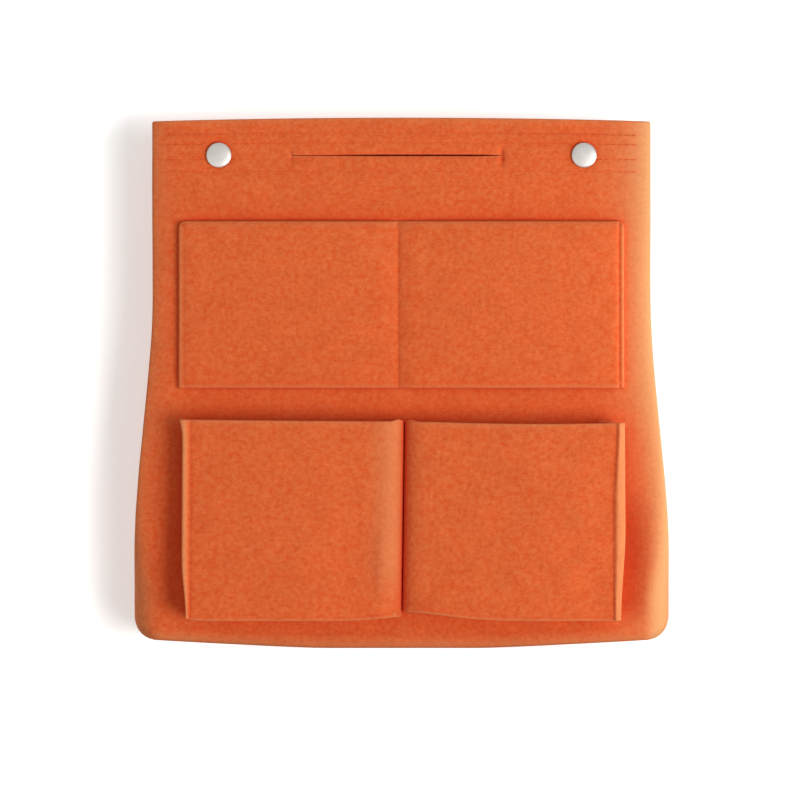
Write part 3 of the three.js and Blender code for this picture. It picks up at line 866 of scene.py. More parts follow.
def upper_seam_press(x, z):
    """How far the seams and the pressed edges of the flat pockets lie in the felt."""
    pockets = settings("pockets")
    stitching = settings("stitching")
    width = 0.8 * stitching.groove_width
    inset = pockets.upper_inset
    left, right, foot, mouth = x - UPPER_LOW.x, x - UPPER_HIGH.x, z - UPPER_LOW.z, z - UPPER_HIGH.z
    middle = x - pockets.upper_seam
    seams = zip(UPPER_SEAM_PULLS, (left - inset, right + inset, foot - inset, middle))
    edges = zip(UPPER_EDGE_PULLS, (left, right, foot, mouth))
    pulls = [pull * bump(away, width) for pull, away in seams]
    pulls[-1] += UPPER_DIP * bump(middle, UPPER_DIP_WIDTH)
    return stitching.groove * (max(pulls) + max(pull * bump(away, width) for pull, away in edges))


def upper_highlight(x, z):
    """Painted highlight on the flat pocket panel: lighter beside its raw edges."""
    inset = settings("pockets").upper_inset
    near = min(x - UPPER_LOW.x, UPPER_HIGH.x - x, z - UPPER_LOW.z)
    return UPPER_HIGHLIGHT * ease((0.9 * inset - near) / MM)


def upper_pocket_point(x, z, face):
    """A point of the flat pocket panel."""
    pockets = settings("pockets")
    seam = pockets.upper_seam
    inset = pockets.upper_inset
    t = (z - UPPER_LOW.z) / (UPPER_HIGH.z - UPPER_LOW.z)
    start, stop = (UPPER_LOW.x, seam) if x < seam else (seam, UPPER_HIGH.x)
    along = (x - start - inset) / (stop - start - 2 * inset)
    bow = pockets.upper_bow * arch(along) * max(t, 0)
    bow += pockets.pillow * math.sqrt(arch(along) * arch(t * 0.9 + 0.1))
    bow += 0.5 * settings("body").wave * (1 + wave_at(x + 1, 0, z)) * arch(along) ** 0.25
    out = depth_at(z) + SEAT_GAP + bow + FELT * face
    if face > 0.5:
        out -= upper_seam_press(x, z)
    else:
        edge = min(x - UPPER_LOW.x, UPPER_HIGH.x - x, z - UPPER_LOW.z)
        out -= UPPER_BACK_PULL * bump(edge, UPPER_BACK_WIDTH)
    radius = pockets.upper_corner
    near = min(max(x - UPPER_HIGH.x, UPPER_LOW.x - x) / radius + 1, 1)
    drop = radius * (1 - math.sqrt(1 - near ** 2)) if near > 0 else 0
    drop *= ease((t - UPPER_CORNER_START) / UPPER_CORNER_SPAN)
    return Vector((x, -out, z - pockets.upper_drop - drop))


class ORGANIZER_OT_upper_pocket(bpy.types.Operator):
    """Makes the flat panel of two pockets, sewn down at its sides, foot and middle."""

    bl_idname = "organizer.upper_pocket"
    bl_label = "Upper pockets"

    def execute(self, context):
        pockets = settings("pockets")
        inset = pockets.upper_inset
        step = 3.6 * MM
        columns = seam_lines(UPPER_LOW.x + inset)[1:] + seam_lines(UPPER_HIGH.x - inset)[:-1]
        columns += seam_lines(pockets.upper_seam) + edge_lines(UPPER_LOW.x, UPPER_HIGH.x)
        rows = seam_lines(UPPER_LOW.z + inset)[1:] + edge_lines(UPPER_LOW.z, UPPER_HIGH.z)
        made = felt_sheet("upper_pocket_felt", ["upper_pocket_panel"],
                          grid_lines(UPPER_LOW.x, UPPER_HIGH.x, step, columns),
                          grid_lines(UPPER_LOW.z, UPPER_HIGH.z, step, rows), upper_pocket_point,
                          edge_tone_and_highlight=upper_highlight)
        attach(made, "front")
        return {"FINISHED"}


# The box pockets: face, rounded corner, wall of the pleat and its foot, as one strip for each pocket. Next, how
# each departs from its pattern, left and right: its free edge and the seam beside it, its mouth, its foot, the
# painted highlight on its lip, and a hollow pressed into its face
FACE_END, CORNER_END, PLEAT_WALL_END, FOOT_END = 1.0, 2.0, 3.0, 4.0
POCKET_SHAPES = {
    -1: {
        "ridge": 0.22, "lift": 1.3 * MM, "fall": 0.3 * MM,
        "edge": -2.4 * MM, "edge_mouth": 1.4 * MM, "edge_foot": -2.2 * MM, "foot_share": 0.3,
        "seam": -6.4 * MM, "seam_mouth": 0.0,
        "mouth_outer": 0.6 * MM, "mouth_inner": -0.3 * MM, "mouth_sag": 0.1 * MM,
        "foot_rise": 1.8 * MM, "foot_reach": 16 * MM, "corner_rise": 1.2 * MM,
        "lip_highlight": 1.0,
        "hollow": 1.5 * MM, "hollow_x": -24 * MM, "hollow_z": 42 * MM, "hollow_reach": 18 * MM,
    },
    1: {
        "ridge": 0.66, "lift": 0.8 * MM, "fall": 2.2 * MM,
        "edge": -0.2 * MM, "edge_mouth": 0.0, "edge_foot": -2.4 * MM, "foot_share": 0.45,
        "seam": -6.7 * MM, "seam_mouth": 2.2 * MM,
        "mouth_outer": -1.0 * MM, "mouth_inner": -0.6 * MM, "mouth_sag": 0.8 * MM,
        "foot_rise": 4.2 * MM, "foot_reach": 28 * MM, "corner_rise": 0.0,
        "lip_highlight": 0.1,
        "hollow": 0.9 * MM, "hollow_x": 97 * MM, "hollow_z": 31 * MM, "hollow_reach": 12 * MM,
    },
}
SEAM_STATION = 0.05
LIP_POWER = 1.4
FOOT_SEAM_Z = LOWER_LOW.z + 1.6 * MM
# Reach of the painted highlight on a box pocket's lip, from the valley
LIP_HIGHLIGHT_WIDTH = 20 * MM
PUCKER_REACH, LEAN_REACH = 13 * MM, 30 * MM
TIP_RISE, TIP_PLACE, TIP_WIDTH = 1.3 * MM, 3.2 * MM, 1.8 * MM  # of the mouth's line beside the valley
FOOT_DROP, CORNER_SHARE = 0.8 * MM, 0.12
SEAM_PULL, FOOT_PULL = 0.8, 0.6  # depths of the seams' grooves on the face, as shares of the full groove
# Where on the height each change starts, and over how much of it: free edge, outer seam, mouth; and at the foot
EDGE_TURN, SEAM_TURN, MOUTH_TURN, FOOT_TURN = (0.93, 0.07), (0.55, 0.45), (0.75, 0.25), 0.25


def height_share(z):
    """How far up a box pocket a height is, from 0 at its foot to 1 at its mouth."""
    return (z - LOWER_LOW.z) / (LOWER_HIGH.z - LOWER_LOW.z)


def face_depth(z):
    """Distance from the middle plane to the inner side of a box pocket's face."""
    return mix(FACE_FOOT, FACE_MOUTH, height_share(z))


def turned_at(t, turn):
    """How far a change has come at a share of the height. turn holds its start and its span."""
    return ease((t - turn[0]) / turn[1])


def flange_at(side, t):
    """Distances from the middle to a box pocket's free edge and to the seam beside it."""
    shape = POCKET_SHAPES[side]
    edge = FLANGE_EDGE + shape["edge"] + shape["edge_mouth"] * turned_at(t, EDGE_TURN)
    edge += shape["edge_foot"] * ease((shape["foot_share"] - t) / shape["foot_share"])
    seam = FLANGE_EDGE + shape["seam"] + shape["seam_mouth"] * turned_at(t, SEAM_TURN)
    return edge, seam


def lip_start(side):
    """Sideways place where a box pocket's face starts to turn into the valley."""
    pockets = settings("pockets")
    return PLEAT_X + side * ((FELT + pockets.pleat_room) / 2 + pockets.lip_width)


def face_push(side, station, x, z, face):
    """How far a box pocket's face stands proud of its flat pattern."""
    stitching = settings("stitching")
    shape = POCKET_SHAPES[side]
    t = height_share(z)
    seam = flange_at(side, t)[1]
    inner = (seam - side * x) / (seam - side * lip_start(side))
    push = settings("pockets").face_crown * arch(inner) * (0.35 + 0.65 * arch(t))
    free = ease(inner / 0.12) * (1 - 0.6 * ease((inner - 0.8) / 0.2))
    push += 2.0 * settings("body").wave * wave_at(x + side, 0, z) * free
    away = math.hypot(x - shape["hollow_x"], z - shape["hollow_z"])
    push -= shape["hollow"] * bump(away, shape["hollow_reach"])
    if station < SEAM_STATION:
        across = station / SEAM_STATION
        ridge = shape["ridge"]
        rise = ease((1 - across) / (1 - ridge)) if across > ridge else 1.0
        push += shape["lift"] * rise - shape["fall"] * max(1 - across / ridge, 0) ** 1.3
    if face > 0.5:
        push -= SEAM_PULL * stitching.groove * bump(side * x - seam, 0.65 * stitching.groove_width)
        push -= FOOT_PULL * stitching.groove * bump(z - FOOT_SEAM_Z, stitching.groove_width)
    return push


def edge_shift(side, station, x, z):
    """How far a box pocket's mouth and foot lie above or below their straight pattern lines."""
    shape = POCKET_SHAPES[side]
    t = height_share(z)
    share = min(station, 1.0)
    mouth = mix(shape["mouth_outer"], shape["mouth_inner"], share) - shape["mouth_sag"] * arch(share)
    mouth += TIP_RISE * bump(abs(x - PLEAT_X) - TIP_PLACE, TIP_WIDTH)
    foot = shape["foot_rise"] * bump(x - PLEAT_X, shape["foot_reach"]) - FOOT_DROP
    foot += shape["corner_rise"] * (1 - ease(share / CORNER_SHARE))
    return mouth * turned_at(t, MOUTH_TURN) + foot * (1 - ease(t / FOOT_TURN))


def lower_pocket_point(side, station, z, face):
    """A point of a box pocket's strip, with station running from the free outer edge to the pleat's foot."""
    pockets = settings("pockets")
    t = height_share(z)
    fold = (FELT + pockets.pleat_room) / 2
    middle = -(face_depth(z) + FELT / 2)
    back = -(depth_at(z) + SEAT_GAP + FELT / 2)
    corner = lip_start(side)
    push = 0.0
    if station <= FACE_END:
        edge, seam = flange_at(side, t)
        if station < SEAM_STATION:
            x = side * mix(edge, seam, station / SEAM_STATION)
        else:
            x = mix(side * seam, corner, (station - SEAM_STATION) / (FACE_END - SEAM_STATION))
        point, out = Vector((x, middle)), Vector((0, -1))
        push = face_push(side, station, x, z, face)
    elif station <= CORNER_END:
        turn = (station - FACE_END) * math.pi / 2
        sunk = (1 - math.cos(turn)) ** LIP_POWER
        point = Vector((corner - side * pockets.lip_width * math.sin(turn), middle + pockets.lip_depth * sunk))
        steep = LIP_POWER * (1 - math.cos(turn)) ** (LIP_POWER - 1) * math.sin(turn)
        out = Vector((-side * pockets.lip_depth * steep, -pockets.lip_width * math.cos(turn))).normalized()
    elif station <= PLEAT_WALL_END:
        out = Vector((-side, 0))
        front = middle + pockets.lip_depth
        point = Vector((PLEAT_X + side * fold, mix(front, back - fold, station - CORNER_END)))
    else:
        turn = (FOOT_END - station) * math.pi / 2
        away = Vector((side * math.sin(turn), math.cos(turn)))
        point = Vector((PLEAT_X, back - fold)) + away * fold
        out = -away
    drawn = bump(point.x - PLEAT_X, PUCKER_REACH) * bump(z - LOWER_LOW.z, PUCKER_REACH)
    proud = (back - point.y) / (back - middle)
    point += out * (push + FELT * (face - 0.5))
    point.y += pockets.pucker * drawn * ease(proud)
    point.x -= pockets.pleat_lean * (1 - t) * bump(point.x - PLEAT_X, LEAN_REACH)
    return Vector((point.x, point.y, z + edge_shift(side, station, point.x, z)))


POCKET_BEND_Y, POCKET_BEND_WIDTH = -31 * MM, 7 * MM


def bend_pocket(made, word, lead=0.0):
    """Bakes a box pocket's piece in place."""
    slope = Vector((0, -1, (face_depth(LOWER_LOW.z) - face_depth(LOWER_HIGH.z)) / (LOWER_HIGH.z - LOWER_LOW.z)))
    bend(made, ("front", f"{word}_pocket"), slope, Vector((0, POCKET_BEND_Y, 0)), POCKET_BEND_WIDTH, lead)


def make_lower_pocket(word, side):
    """One box pocket's strip."""
    span = FLANGE_EDGE - abs(lip_start(side))
    lip_width = settings("pockets").lip_width
    width = settings("stitching").groove_width / span
    step = 3.6 * MM
    flange = [SEAM_STATION * k for k in (0, 0.18, 0.36, 0.54, 0.7, 0.84, 1)]
    beside_seam = [SEAM_STATION + width * k for k in (0.8, 1.8, 3.2)]
    across = flange[:-1] + grid_lines(SEAM_STATION, FACE_END, step / span, beside_seam)
    across += [FACE_END + k / 8 for k in range(1, 9)] + [CORNER_END + k / 4 for k in range(1, 9)]
    rows = seam_lines(FOOT_SEAM_Z)[1:] + edge_lines(LOWER_LOW.z, LOWER_HIGH.z)[1:]

    def place(station, z, face):
        return lower_pocket_point(side, station, z, face)

    # The flange's cut edge has its own pale tone, widened into a painted highlight; the lip by the valley gets
    # a painted highlight, strongest on the left pocket, whose lip faces the light
    def edge_tone_and_highlight(station, z):
        flange = 1.2 * ease((SEAM_STATION * 0.85 - station) / (SEAM_STATION * 0.3))
        turn = min(max(station - FACE_END, 0), 1) * math.pi / 2
        away = lip_width * (1 - math.sin(turn)) + max(FACE_END - station, 0) * span
        lip = (1 - ease(away / LIP_HIGHLIGHT_WIDTH)) * (1 - ease((station - 1.75) / 0.25))
        return max(flange, POCKET_SHAPES[side]["lip_highlight"] * lip * ease(height_share(z) / 0.3))
    made = felt_sheet(f"{word}_pocket_felt", [f"{word}_pocket_front", "pocket_centre_pleat"], across,
                      grid_lines(LOWER_LOW.z, LOWER_HIGH.z, step, rows), place, edge_tone_and_highlight=edge_tone_and_highlight)
    bend_pocket(made, word)


def make_pocket_side(word, side):
    """A box pocket's outer gusset."""
    pockets = settings("pockets")
    pressed, sunk = 0.4 * MM, 0.6 * MM  # how far its edges stand in the felt of the front and the face

    def wall(across, z, face):
        t = height_share(z)
        seam = flange_at(side, t)[1]
        near = depth_at(z) + SEAT_GAP - pressed - side_hollow(side * seam, z)
        far = face_depth(z) + sunk
        bulge = pockets.gusset_bulge * t if side < 0 else -pockets.gusset_fold * ease(t / 0.35)
        x = seam + bulge * math.sin(math.pi * across) - FELT * (1 - face)
        return Vector((side * x, -mix(near, far, across), z))
    rows = grid_lines(LOWER_LOW.z, LOWER_HIGH.z, 5 * MM, edge_lines(LOWER_LOW.z, LOWER_HIGH.z))
    made = felt_sheet(f"{word}_pocket_side", [f"{word}_pocket_gusset"],
                      [0, 0.08, 0.2, 0.35, 0.5, 0.65, 0.8, 0.92, 1.0], rows, wall)
    bend_pocket(made, word, 4 * MM)


def make_pocket_floor(word, side):
    """A box pocket's floor."""
    low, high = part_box(f"{word}_pocket_floor")

    def floor(x, y, face):
        return Vector((x, y, mix(high.z, low.z, face) + edge_shift(side, 0.5, x, LOWER_LOW.z)))
    across, up = (grid_lines(low[i], high[i], 5 * MM, edge_lines(low[i], high[i])) for i in (0, 1))
    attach(felt_sheet(f"{word}_pocket_bottom", [f"{word}_pocket_floor"], across, up, floor), "front")


class ORGANIZER_OT_lower_pockets(bpy.types.Operator):
    """Makes the two box pockets, each one strip of felt from its raw edge round into the pleat."""

    bl_idname = "organizer.lower_pockets"
    bl_label = "Box pockets"

    def execute(self, context):
        for word, side in SIDES:
            make_lower_pocket(word, side)
        return {"FINISHED"}


class ORGANIZER_OT_pocket_sides(bpy.types.Operator):
    """Makes the outer gussets and the floors of the box pockets."""

    bl_idname = "organizer.pocket_sides"
    bl_label = "Box pocket sides and floors"

    def execute(self, context):
        for word, side in SIDES:
            make_pocket_side(word, side)
            make_pocket_floor(word, side)
        return {"FINISHED"}


# Press studs. low and high are the corners of a part's CAD node
def arc(centre, y, radius, start, stop, steps=6):
    """Points of a rounded edge in a turned outline, from one angle to another in degrees."""
    angles = [math.radians(mix(start, stop, i / steps)) for i in range(steps + 1)]
    return [(centre + radius * math.cos(a), y + radius * math.sin(a)) for a in angles]


def spun(outline):
    """A turned form about Y. outline holds (radius, y) pairs from the axis or in a closed ring."""
    bm = bmesh.new()
    ring = [bm.verts.new((radius, y, 0)) for radius, y in outline]
    edges = [bm.edges.new(pair) for pair in zip(ring, ring[1:])]
    if outline[0][0] > 0 and outline[-1][0] > 0:
        edges.append(bm.edges.new((ring[-1], ring[0])))
    bmesh.ops.spin(bm, geom=ring + edges, cent=(0, 0, 0), axis=(0, 1, 0), angle=2 * math.pi,
                   steps=64, use_merge=True)
    bmesh.ops.remove_doubles(bm, verts=bm.verts[:], dist=1e-6)
    return bm


def cap(low, high):
    """A low dome with a rounded rim, and the shank through the felt."""
    rim = settings("studs").rim / 2
    seat, shank, crown = low.y + 1.7 * MM, 2.2 * MM, 0.85 * MM
    angles = [math.radians(9 * i) for i in range(9)]
    dome = [(CAP_RADIUS * 0.94 * math.sin(a), low.y + crown * (1 - math.cos(a))) for a in angles]
    edge = arc(CAP_RADIUS - rim, seat - rim, rim, -60, 90)
    return spun(dome + edge + [(CAP_RADIUS - 1.1 * MM, seat), (shank, seat), (shank, high.y), (0, high.y)])


def socket(low, high):
    """A ring with a groove inside for the spring."""
    outer = (high.x - low.x) / 2
    bore, groove, lip = 2.5 * MM, 3.6 * MM, 0.3 * MM
    return spun([(bore, low.y), (outer - lip, low.y), *arc(outer - lip, low.y + lip, lip, -90, 0),
                 *arc(outer - lip, high.y - lip, lip, 0, 90), (bore, high.y), (bore, high.y - lip),
                 (groove, high.y - lip), (groove, low.y + lip), (bore, low.y + lip)])


def spring(low, high):
    """An open ring of wire."""
    wire = (high.y - low.y) / 2
    middle = (high.x - low.x) / 2 - wire
    bm = bmesh.new()
    bmesh.ops.create_circle(bm, cap_ends=True, radius=wire, segments=12,
                            matrix=Matrix.Translation((middle, (low.y + high.y) / 2, 0)))
    turn = Matrix.Rotation(math.radians(115), 4, "Y")
    bmesh.ops.transform(bm, matrix=turn, verts=bm.verts[:])
    bmesh.ops.spin(bm, geom=bm.verts[:] + bm.edges[:] + bm.faces[:], cent=(0, 0, 0), axis=(0, 1, 0),
                   angle=math.radians(310), steps=40)
    return bm


def nipple(low, high):
    """The hollow stud that snaps into the spring, on its flange."""
    flange = (high.x - low.x) / 2
    neck, bulb, tip, wall, foot, root = (k * MM for k in (2.0, 2.2, 0.7, 0.4, 0.6, 0.2))
    base = high.y - foot
    return spun([(0, low.y), *arc(bulb - tip, low.y + tip, tip, -90, 0), (neck, base - root),
                 (neck + root, base), (flange, base), (flange, high.y), (neck - wall, high.y),
                 (neck - wall, low.y + wall), (0, low.y + wall)])


def post(low, high):
    """The rivet that holds the stud, with a shallow dish in its head."""
    radius = (high.x - low.x) / 2
    seat = high.y - 0.9 * MM
    shank, rim, dish = 1.3 * MM, 0.4 * MM, 0.35 * MM
    return spun([(0, low.y), (shank, low.y), (shank, seat), (radius - rim, seat),
                 *arc(radius - rim, seat + rim, rim, -90, 60), (radius - 1.3 * MM, high.y),
                 (shank + 0.6 * MM, high.y), (shank, high.y - dish), (0, high.y - dish)])


# The name of each part's piece, its CAD node, its body and what makes its form
STUD_PARTS = (
    ("cap", "cap", "front", cap),
    ("socket", "socket", "front", socket),
    ("spring", "spring", "front", spring),
    ("nipple", "stud", "back", nipple),
    ("post", "post", "back", post),
)


class ORGANIZER_OT_press_studs(bpy.types.Operator):
    """Makes both press studs: cap, socket, spring ring, stud and post."""

    bl_idname = "organizer.press_studs"
    bl_label = "Press studs"

    def execute(self, context):
        nickel = material("tumbled_nickel", tumbled_nickel)
        for word, side in SIDES:
            for name, part, body, form in STUD_PARTS:
                bm = form(*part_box(f"{word}_snap_{part}"))
                bmesh.ops.recalc_face_normals(bm, faces=bm.faces[:])
                bmesh.ops.translate(bm, verts=bm.verts[:], vec=(side * STUD_X, 0, STUD_Z))
                made = finished(f"{word}_stud_{name}", bm, nickel)
                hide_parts(f"{word}_snap_{part}")
                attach(made, body)
        return {"FINISHED"}


# Stitching
THREAD_TURN = 0.05  # how far a stitch may turn from its seam
THREAD_RAISE = 0.35  # how far the band's threads stand off the felt, as a share of their radius
TACK_THREADS = (-0.35 * MM, 0.35 * MM)
TACK_LENGTH, TACK_RAISE = 7.6 * MM, 0.1 * MM
BAND_SEAM_INSET = 7 * MM


def sew(name, body_name, seams, skip=None):
    """Stitches along seams, as one piece on a body.

    Each seam is a path, which gives the place and the outward way at a distance along it, and its length.
    skip(place) tells where no stitch shows.
    """
    stitching = settings("stitching")
    draw = random.Random(name)
    bm = bmesh.new()
    pitch = stitching.stitch + stitching.gap
    for path, total in seams:
        count = int(total / pitch)
        for i in range(count):
            middle = (i + 0.5) * total / count
            (here, out), ahead = path(middle - 0.1 * MM), path(middle + 0.1 * MM)[0]
            if skip and skip(here):
                continue
            along = (ahead - here).normalized()
            wide = out.cross(along).normalized()
            along = (along + wide * draw.uniform(-THREAD_TURN, THREAD_TURN)).normalized()
            turn = Matrix((wide, out, along)).transposed().to_4x4()
            size = Matrix.Diagonal((stitching.thread, stitching.thread, stitching.stitch / 2, 1))
            bmesh.ops.create_uvsphere(bm, u_segments=6, v_segments=5, radius=1,
                                      matrix=Matrix.Translation(here) @ turn @ size)
    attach(finished(name, bm, material("spun_thread", spun_thread)), body_name)


def under_cap(point):
    """A stitch that a press stud covers."""
    return math.hypot(abs(point.x) - STUD_X, point.z - STUD_Z) < CAP_RADIUS + 1.2 * MM


def band_station(x):
    """The station of the shell at a sideways place in the band, found by halving."""
    low, high = -ROLL_END, ROLL_END
    for _ in range(24):
        middle = (low + high) / 2
        if wall_at(middle, STUD_Z, 0)[0].x < x:
            low = middle
        else:
            high = middle
    return low


def thread_on_band(facing, station, up, raised):
    """Where a thread lies on the band of the front or back: its place along Y, and its height."""
    point = shell_point(station, up, 1.0, dents=band_dents)
    return (point.y - raised) * facing, point.z


def band_seams(facing):
    """The rows below the mouth's edge."""
    raised = settings("stitching").thread * THREAD_RAISE
    half = TOP_HALF_WIDTH - BAND_SEAM_INSET

    def row(drop):
        def path(t):
            y, z = thread_on_band(facing, band_station(t - half), HEIGHT - drop, raised)
            return Vector((t - half, y, z)), Vector((0, -facing, 0))
        return path
    return [(row(drop), 2 * half) for drop in BAND_DROPS]


def tack_seams(facing):
    """The bar tacks across both ends of the hand slot."""
    half = TOP_HALF_WIDTH - settings("body").edge_roll

    def tack(x):
        def path(t):
            z = STUD_Z - TACK_LENGTH / 2 + t
            y = thread_on_band(facing, x / half, z, TACK_RAISE)[0]
            return Vector((x, y, z)), Vector((0, -facing, 0))
        return path
    return [(tack(end + shift), TACK_LENGTH) for end in slot_ends() for shift in TACK_THREADS]


def upper_pocket_seams():
    """The seams of the flat pockets: both sides, the middle and the foot."""
    pockets = settings("pockets")
    inset = pockets.upper_inset
    start, stop, foot = UPPER_LOW.x + inset, UPPER_HIGH.x - inset, UPPER_LOW.z + inset

    def upright(x):
        return lambda t: (upper_pocket_point(x, foot + t, 1.0), Vector((0, -1, 0)))

    def level(t):
        return upper_pocket_point(start + t, foot, 1.0), Vector((0, -1, 0))
    seams = [(upright(x), UPPER_HIGH.z - foot - MM) for x in (start, pockets.upper_seam, stop)]
    return seams + [(level, stop - start)]


def lower_pocket_seams(side):
    """The seams on a box pocket's face: down its outer edge and along its foot."""
    span = FLANGE_EDGE - abs(lip_start(side))

    def upright(t):
        return lower_pocket_point(side, SEAM_STATION, FOOT_SEAM_Z + t, 1.0), Vector((0, -1, 0))

    def foot(t):
        return lower_pocket_point(side, mix(SEAM_STATION, 1.3, t / span), FOOT_SEAM_Z, 1.0), Vector((0, -1, 0))
    return [(upright, LOWER_HIGH.z - FOOT_SEAM_Z - MM), (foot, span)]


class ORGANIZER_OT_stitching(bpy.types.Operator):
    """Sews every seam that shows."""

    bl_idname = "organizer.stitching"
    bl_label = "Stitching"

    def execute(self, context):
        for wall, facing in WALLS:
            sew(f"{wall}_band_stitches", wall, band_seams(facing), under_cap)
        for wall, facing in WALLS:
            sew(f"{wall}_slot_tacks", wall, tack_seams(facing))
        sew("upper_pocket_stitches", "front", upper_pocket_seams())
        for word, side in SIDES:
            sew(f"{word}_pocket_stitches", f"{word}_pocket", lower_pocket_seams(side))
        return {"FINISHED"}


# Floor, backdrop, lights and camera
# Painted glow on the backdrop, added by place, that lifts the shadow near the organizer's top, foot and left
BACKDROP_FADES = (  # axis, where the glow starts to rise, where it is full, and its strength
    ("Z", 12 * MM, -12 * MM, 1.0),
    ("Z", HEIGHT - 12 * MM, HEIGHT + 18 * MM, 1.0),
    ("X", -142 * MM, -162 * MM, 0.6),
)


def seen_directly(tree):
    """1 for what the camera sees, straight or in a gloss or through glass, else 0."""
    path = node(tree, "ShaderNodeLightPath", {})
    seen = worked(tree, "MAXIMUM", path["Is Camera Ray"], path["Is Glossy Ray"])
    return worked(tree, "MAXIMUM", seen, path["Is Transmission Ray"])


def pale_ground(tree, grey, glow):
    """The shader of pale ground that stays white to the camera and still shows the shadow."""
    matt = node(tree, "ShaderNodeBsdfDiffuse", {"Color": (grey, grey * 1.005, grey * 0.965, 1)})[0]
    strength = worked(tree, "MULTIPLY", seen_directly(tree), glow)
    shine = node(tree, "ShaderNodeEmission", {"Strength": strength})[0]
    return node(tree, "ShaderNodeAddShader", {0: matt, 1: shine})[0]


def floor_shader(tree):
    """Pale ground."""
    stage = settings("stage")
    return pale_ground(tree, stage.floor_grey, stage.floor_glow)


def backdrop_shader(tree):
    """Ground that shows only from its front. A painted glow, added by place, lifts the shadow at the
    organizer's top, foot and left.
    """
    stage = settings("stage")
    place = node(tree, "ShaderNodeTexCoord", {})["Object"]
    axes = node(tree, "ShaderNodeSeparateXYZ", {0: place})
    glow = stage.backdrop_glow
    for axis, near, far, strength in BACKDROP_FADES:
        fade = ranged(tree, axes[axis], near, far, 0.0, strength * stage.backdrop_fade,
                      interpolation_type="SMOOTHSTEP")
        glow = worked(tree, "ADD", fade, glow)
    behind = node(tree, "ShaderNodeNewGeometry", {})["Backfacing"]
    ground = pale_ground(tree, stage.backdrop_grey, glow)
    clear = node(tree, "ShaderNodeBsdfTransparent", {})[0]
    return node(tree, "ShaderNodeMixShader", {0: behind, 1: ground, 2: clear})[0]


def ground_plane(name, size, turn, place, build):
    """A flat square of ground that casts no shadow. build(tree) gives its shader."""
    made = bpy.data.materials.new(f"pale_{name}")
    made.use_nodes = True
    made.node_tree.nodes.clear()
    node(made.node_tree, "ShaderNodeOutputMaterial", {"Surface": build(made.node_tree)})
    bm = bmesh.new()
    bmesh.ops.create_grid(bm, x_segments=1, y_segments=1, size=size / 2,
                          matrix=Matrix.Translation(place) @ Matrix.Rotation(turn, 4, "X"))
    ground = placed(name, bm, made)
    ground.visible_shadow = False
    return ground


def soft_lamp(name, place, target, size, power):
    """A flat lamp that looks at a point. size is its width and its height."""
    lamp = bpy.data.lights.new(name, "AREA")
    lamp.shape = "RECTANGLE"
    lamp.size, lamp.size_y = size
    lamp.energy = power
    made = bpy.data.objects.new(name, lamp)
    made.visible_camera = False
    made.location = place
    made.rotation_euler = (Vector(target) - Vector(place)).to_track_quat("-Z", "Y").to_euler()
    bpy.context.scene.collection.objects.link(made)


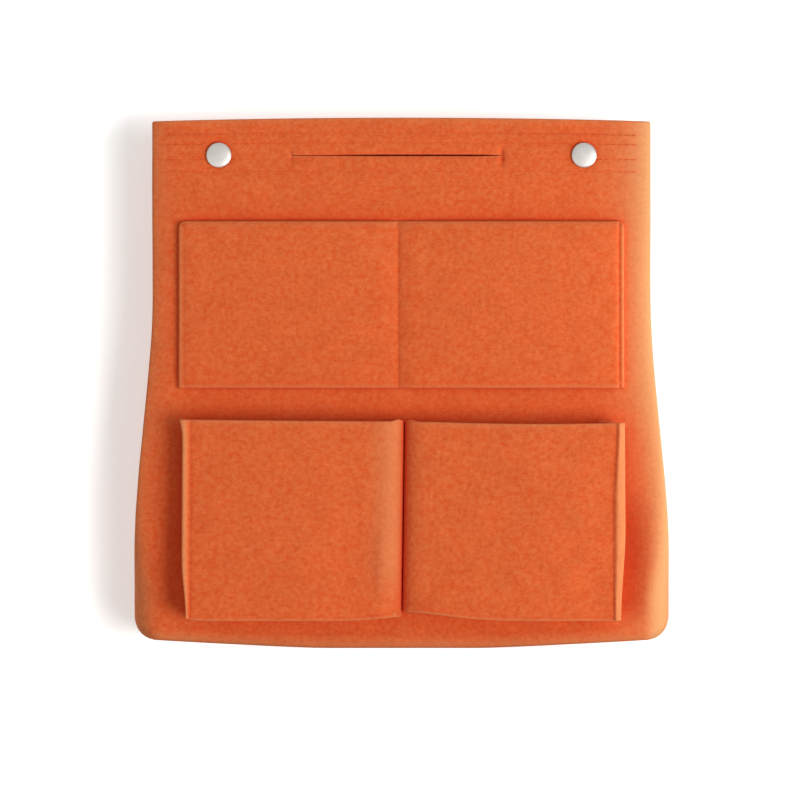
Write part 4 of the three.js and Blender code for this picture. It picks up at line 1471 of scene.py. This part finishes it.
class ORGANIZER_OT_stage(bpy.types.Operator):
    """Makes the floor, the backdrop, the lights and the camera."""

    bl_idname = "organizer.stage"
    bl_label = "Stage"

    def execute(self, context):
        stage = settings("stage")
        scene = context.scene
        middle = Vector((0, 0, HEIGHT / 2))
        ground_plane("floor", 4.0, 0, (0, 0, 0), floor_shader)
        behind = BASE_DEPTH + 2.5 * MM
        backdrop = ground_plane("backdrop", 1.6, math.pi / 2, (0, behind, 0.5), backdrop_shader)
        backdrop.visible_diffuse = False
        backdrop.visible_glossy = False
        soft_lamp("key", middle + Vector((2.2, -2.8, -0.95)), middle, (1.9, 1.9), stage.key)
        soft_lamp("rim", Vector((0.27, -0.045, 0.15)), Vector((0.09, 0, 0.15)), (0.05, 0.2), stage.rim)
        soft_lamp("fill", middle + Vector((-0.8, 1.2, 0.9)), middle, (1.0, 1.0), stage.fill)

        scene.world = bpy.data.worlds.new("studio")
        scene.world.use_nodes = True
        tree = scene.world.node_tree
        level = ranged(tree, seen_directly(tree), 0.0, 1.0, stage.ambient, 1.0)
        feed(tree, tree.nodes["Background"], {"Color": (1, 1, 1, 1), "Strength": level})

        camera = bpy.data.objects.new("camera", bpy.data.cameras.new("camera"))
        camera.data.lens = camera.data.sensor_width * stage.distance / stage.view_width
        camera.data.clip_end = 100
        camera.location = (stage.view_x, -stage.distance - 15 * MM, stage.view_z)
        camera.rotation_euler = (math.pi / 2, 0, 0)
        scene.collection.objects.link(camera)
        scene.camera = camera
        scene.view_settings.view_transform = "Standard"
        return {"FINISHED"}


GROUPS = (
    ("organizer_body", OrganizerBody), ("organizer_pockets", OrganizerPockets),
    ("organizer_stitching", OrganizerStitching), ("organizer_studs", OrganizerStuds),
    ("organizer_colours", OrganizerColours), ("organizer_stage", OrganizerStage),
)
OPERATORS = (
    ORGANIZER_OT_stage, ORGANIZER_OT_shells, ORGANIZER_OT_gussets, ORGANIZER_OT_base,
    ORGANIZER_OT_facings, ORGANIZER_OT_upper_pocket, ORGANIZER_OT_lower_pockets,
    ORGANIZER_OT_pocket_sides, ORGANIZER_OT_press_studs, ORGANIZER_OT_stitching,
)


class ORGANIZER_PT_panel(bpy.types.Panel):
    """Lists the steps and the sizes of the organizer."""

    bl_idname = "ORGANIZER_PT_panel"
    bl_label = "Felt bag organizer"
    bl_space_type = "VIEW_3D"
    bl_region_type = "UI"
    bl_category = "Organizer"

    def draw(self, context):
        for operator in OPERATORS:
            self.layout.operator(operator.bl_idname)
        for name, group in GROUPS:
            box = self.layout.box()
            for key in group.__annotations__:
                box.prop(getattr(context.scene, name), key)


def register():
    for name, group in GROUPS:
        bpy.utils.register_class(group)
        setattr(bpy.types.Scene, name, bpy.props.PointerProperty(type=group))
    for operator in OPERATORS:
        bpy.utils.register_class(operator)
    bpy.utils.register_class(ORGANIZER_PT_panel)


def unregister():
    bpy.utils.unregister_class(ORGANIZER_PT_panel)
    for operator in reversed(OPERATORS):
        bpy.utils.unregister_class(operator)
    for name, group in reversed(GROUPS):
        delattr(bpy.types.Scene, name)
        bpy.utils.unregister_class(group)


def main():
    register()
    for operator in OPERATORS:
        step = operator.bl_idname.split(".")[1]
        getattr(bpy.ops.organizer, step)()
    bpy.context.view_layer.update()


if __name__ == "__main__":
    main()
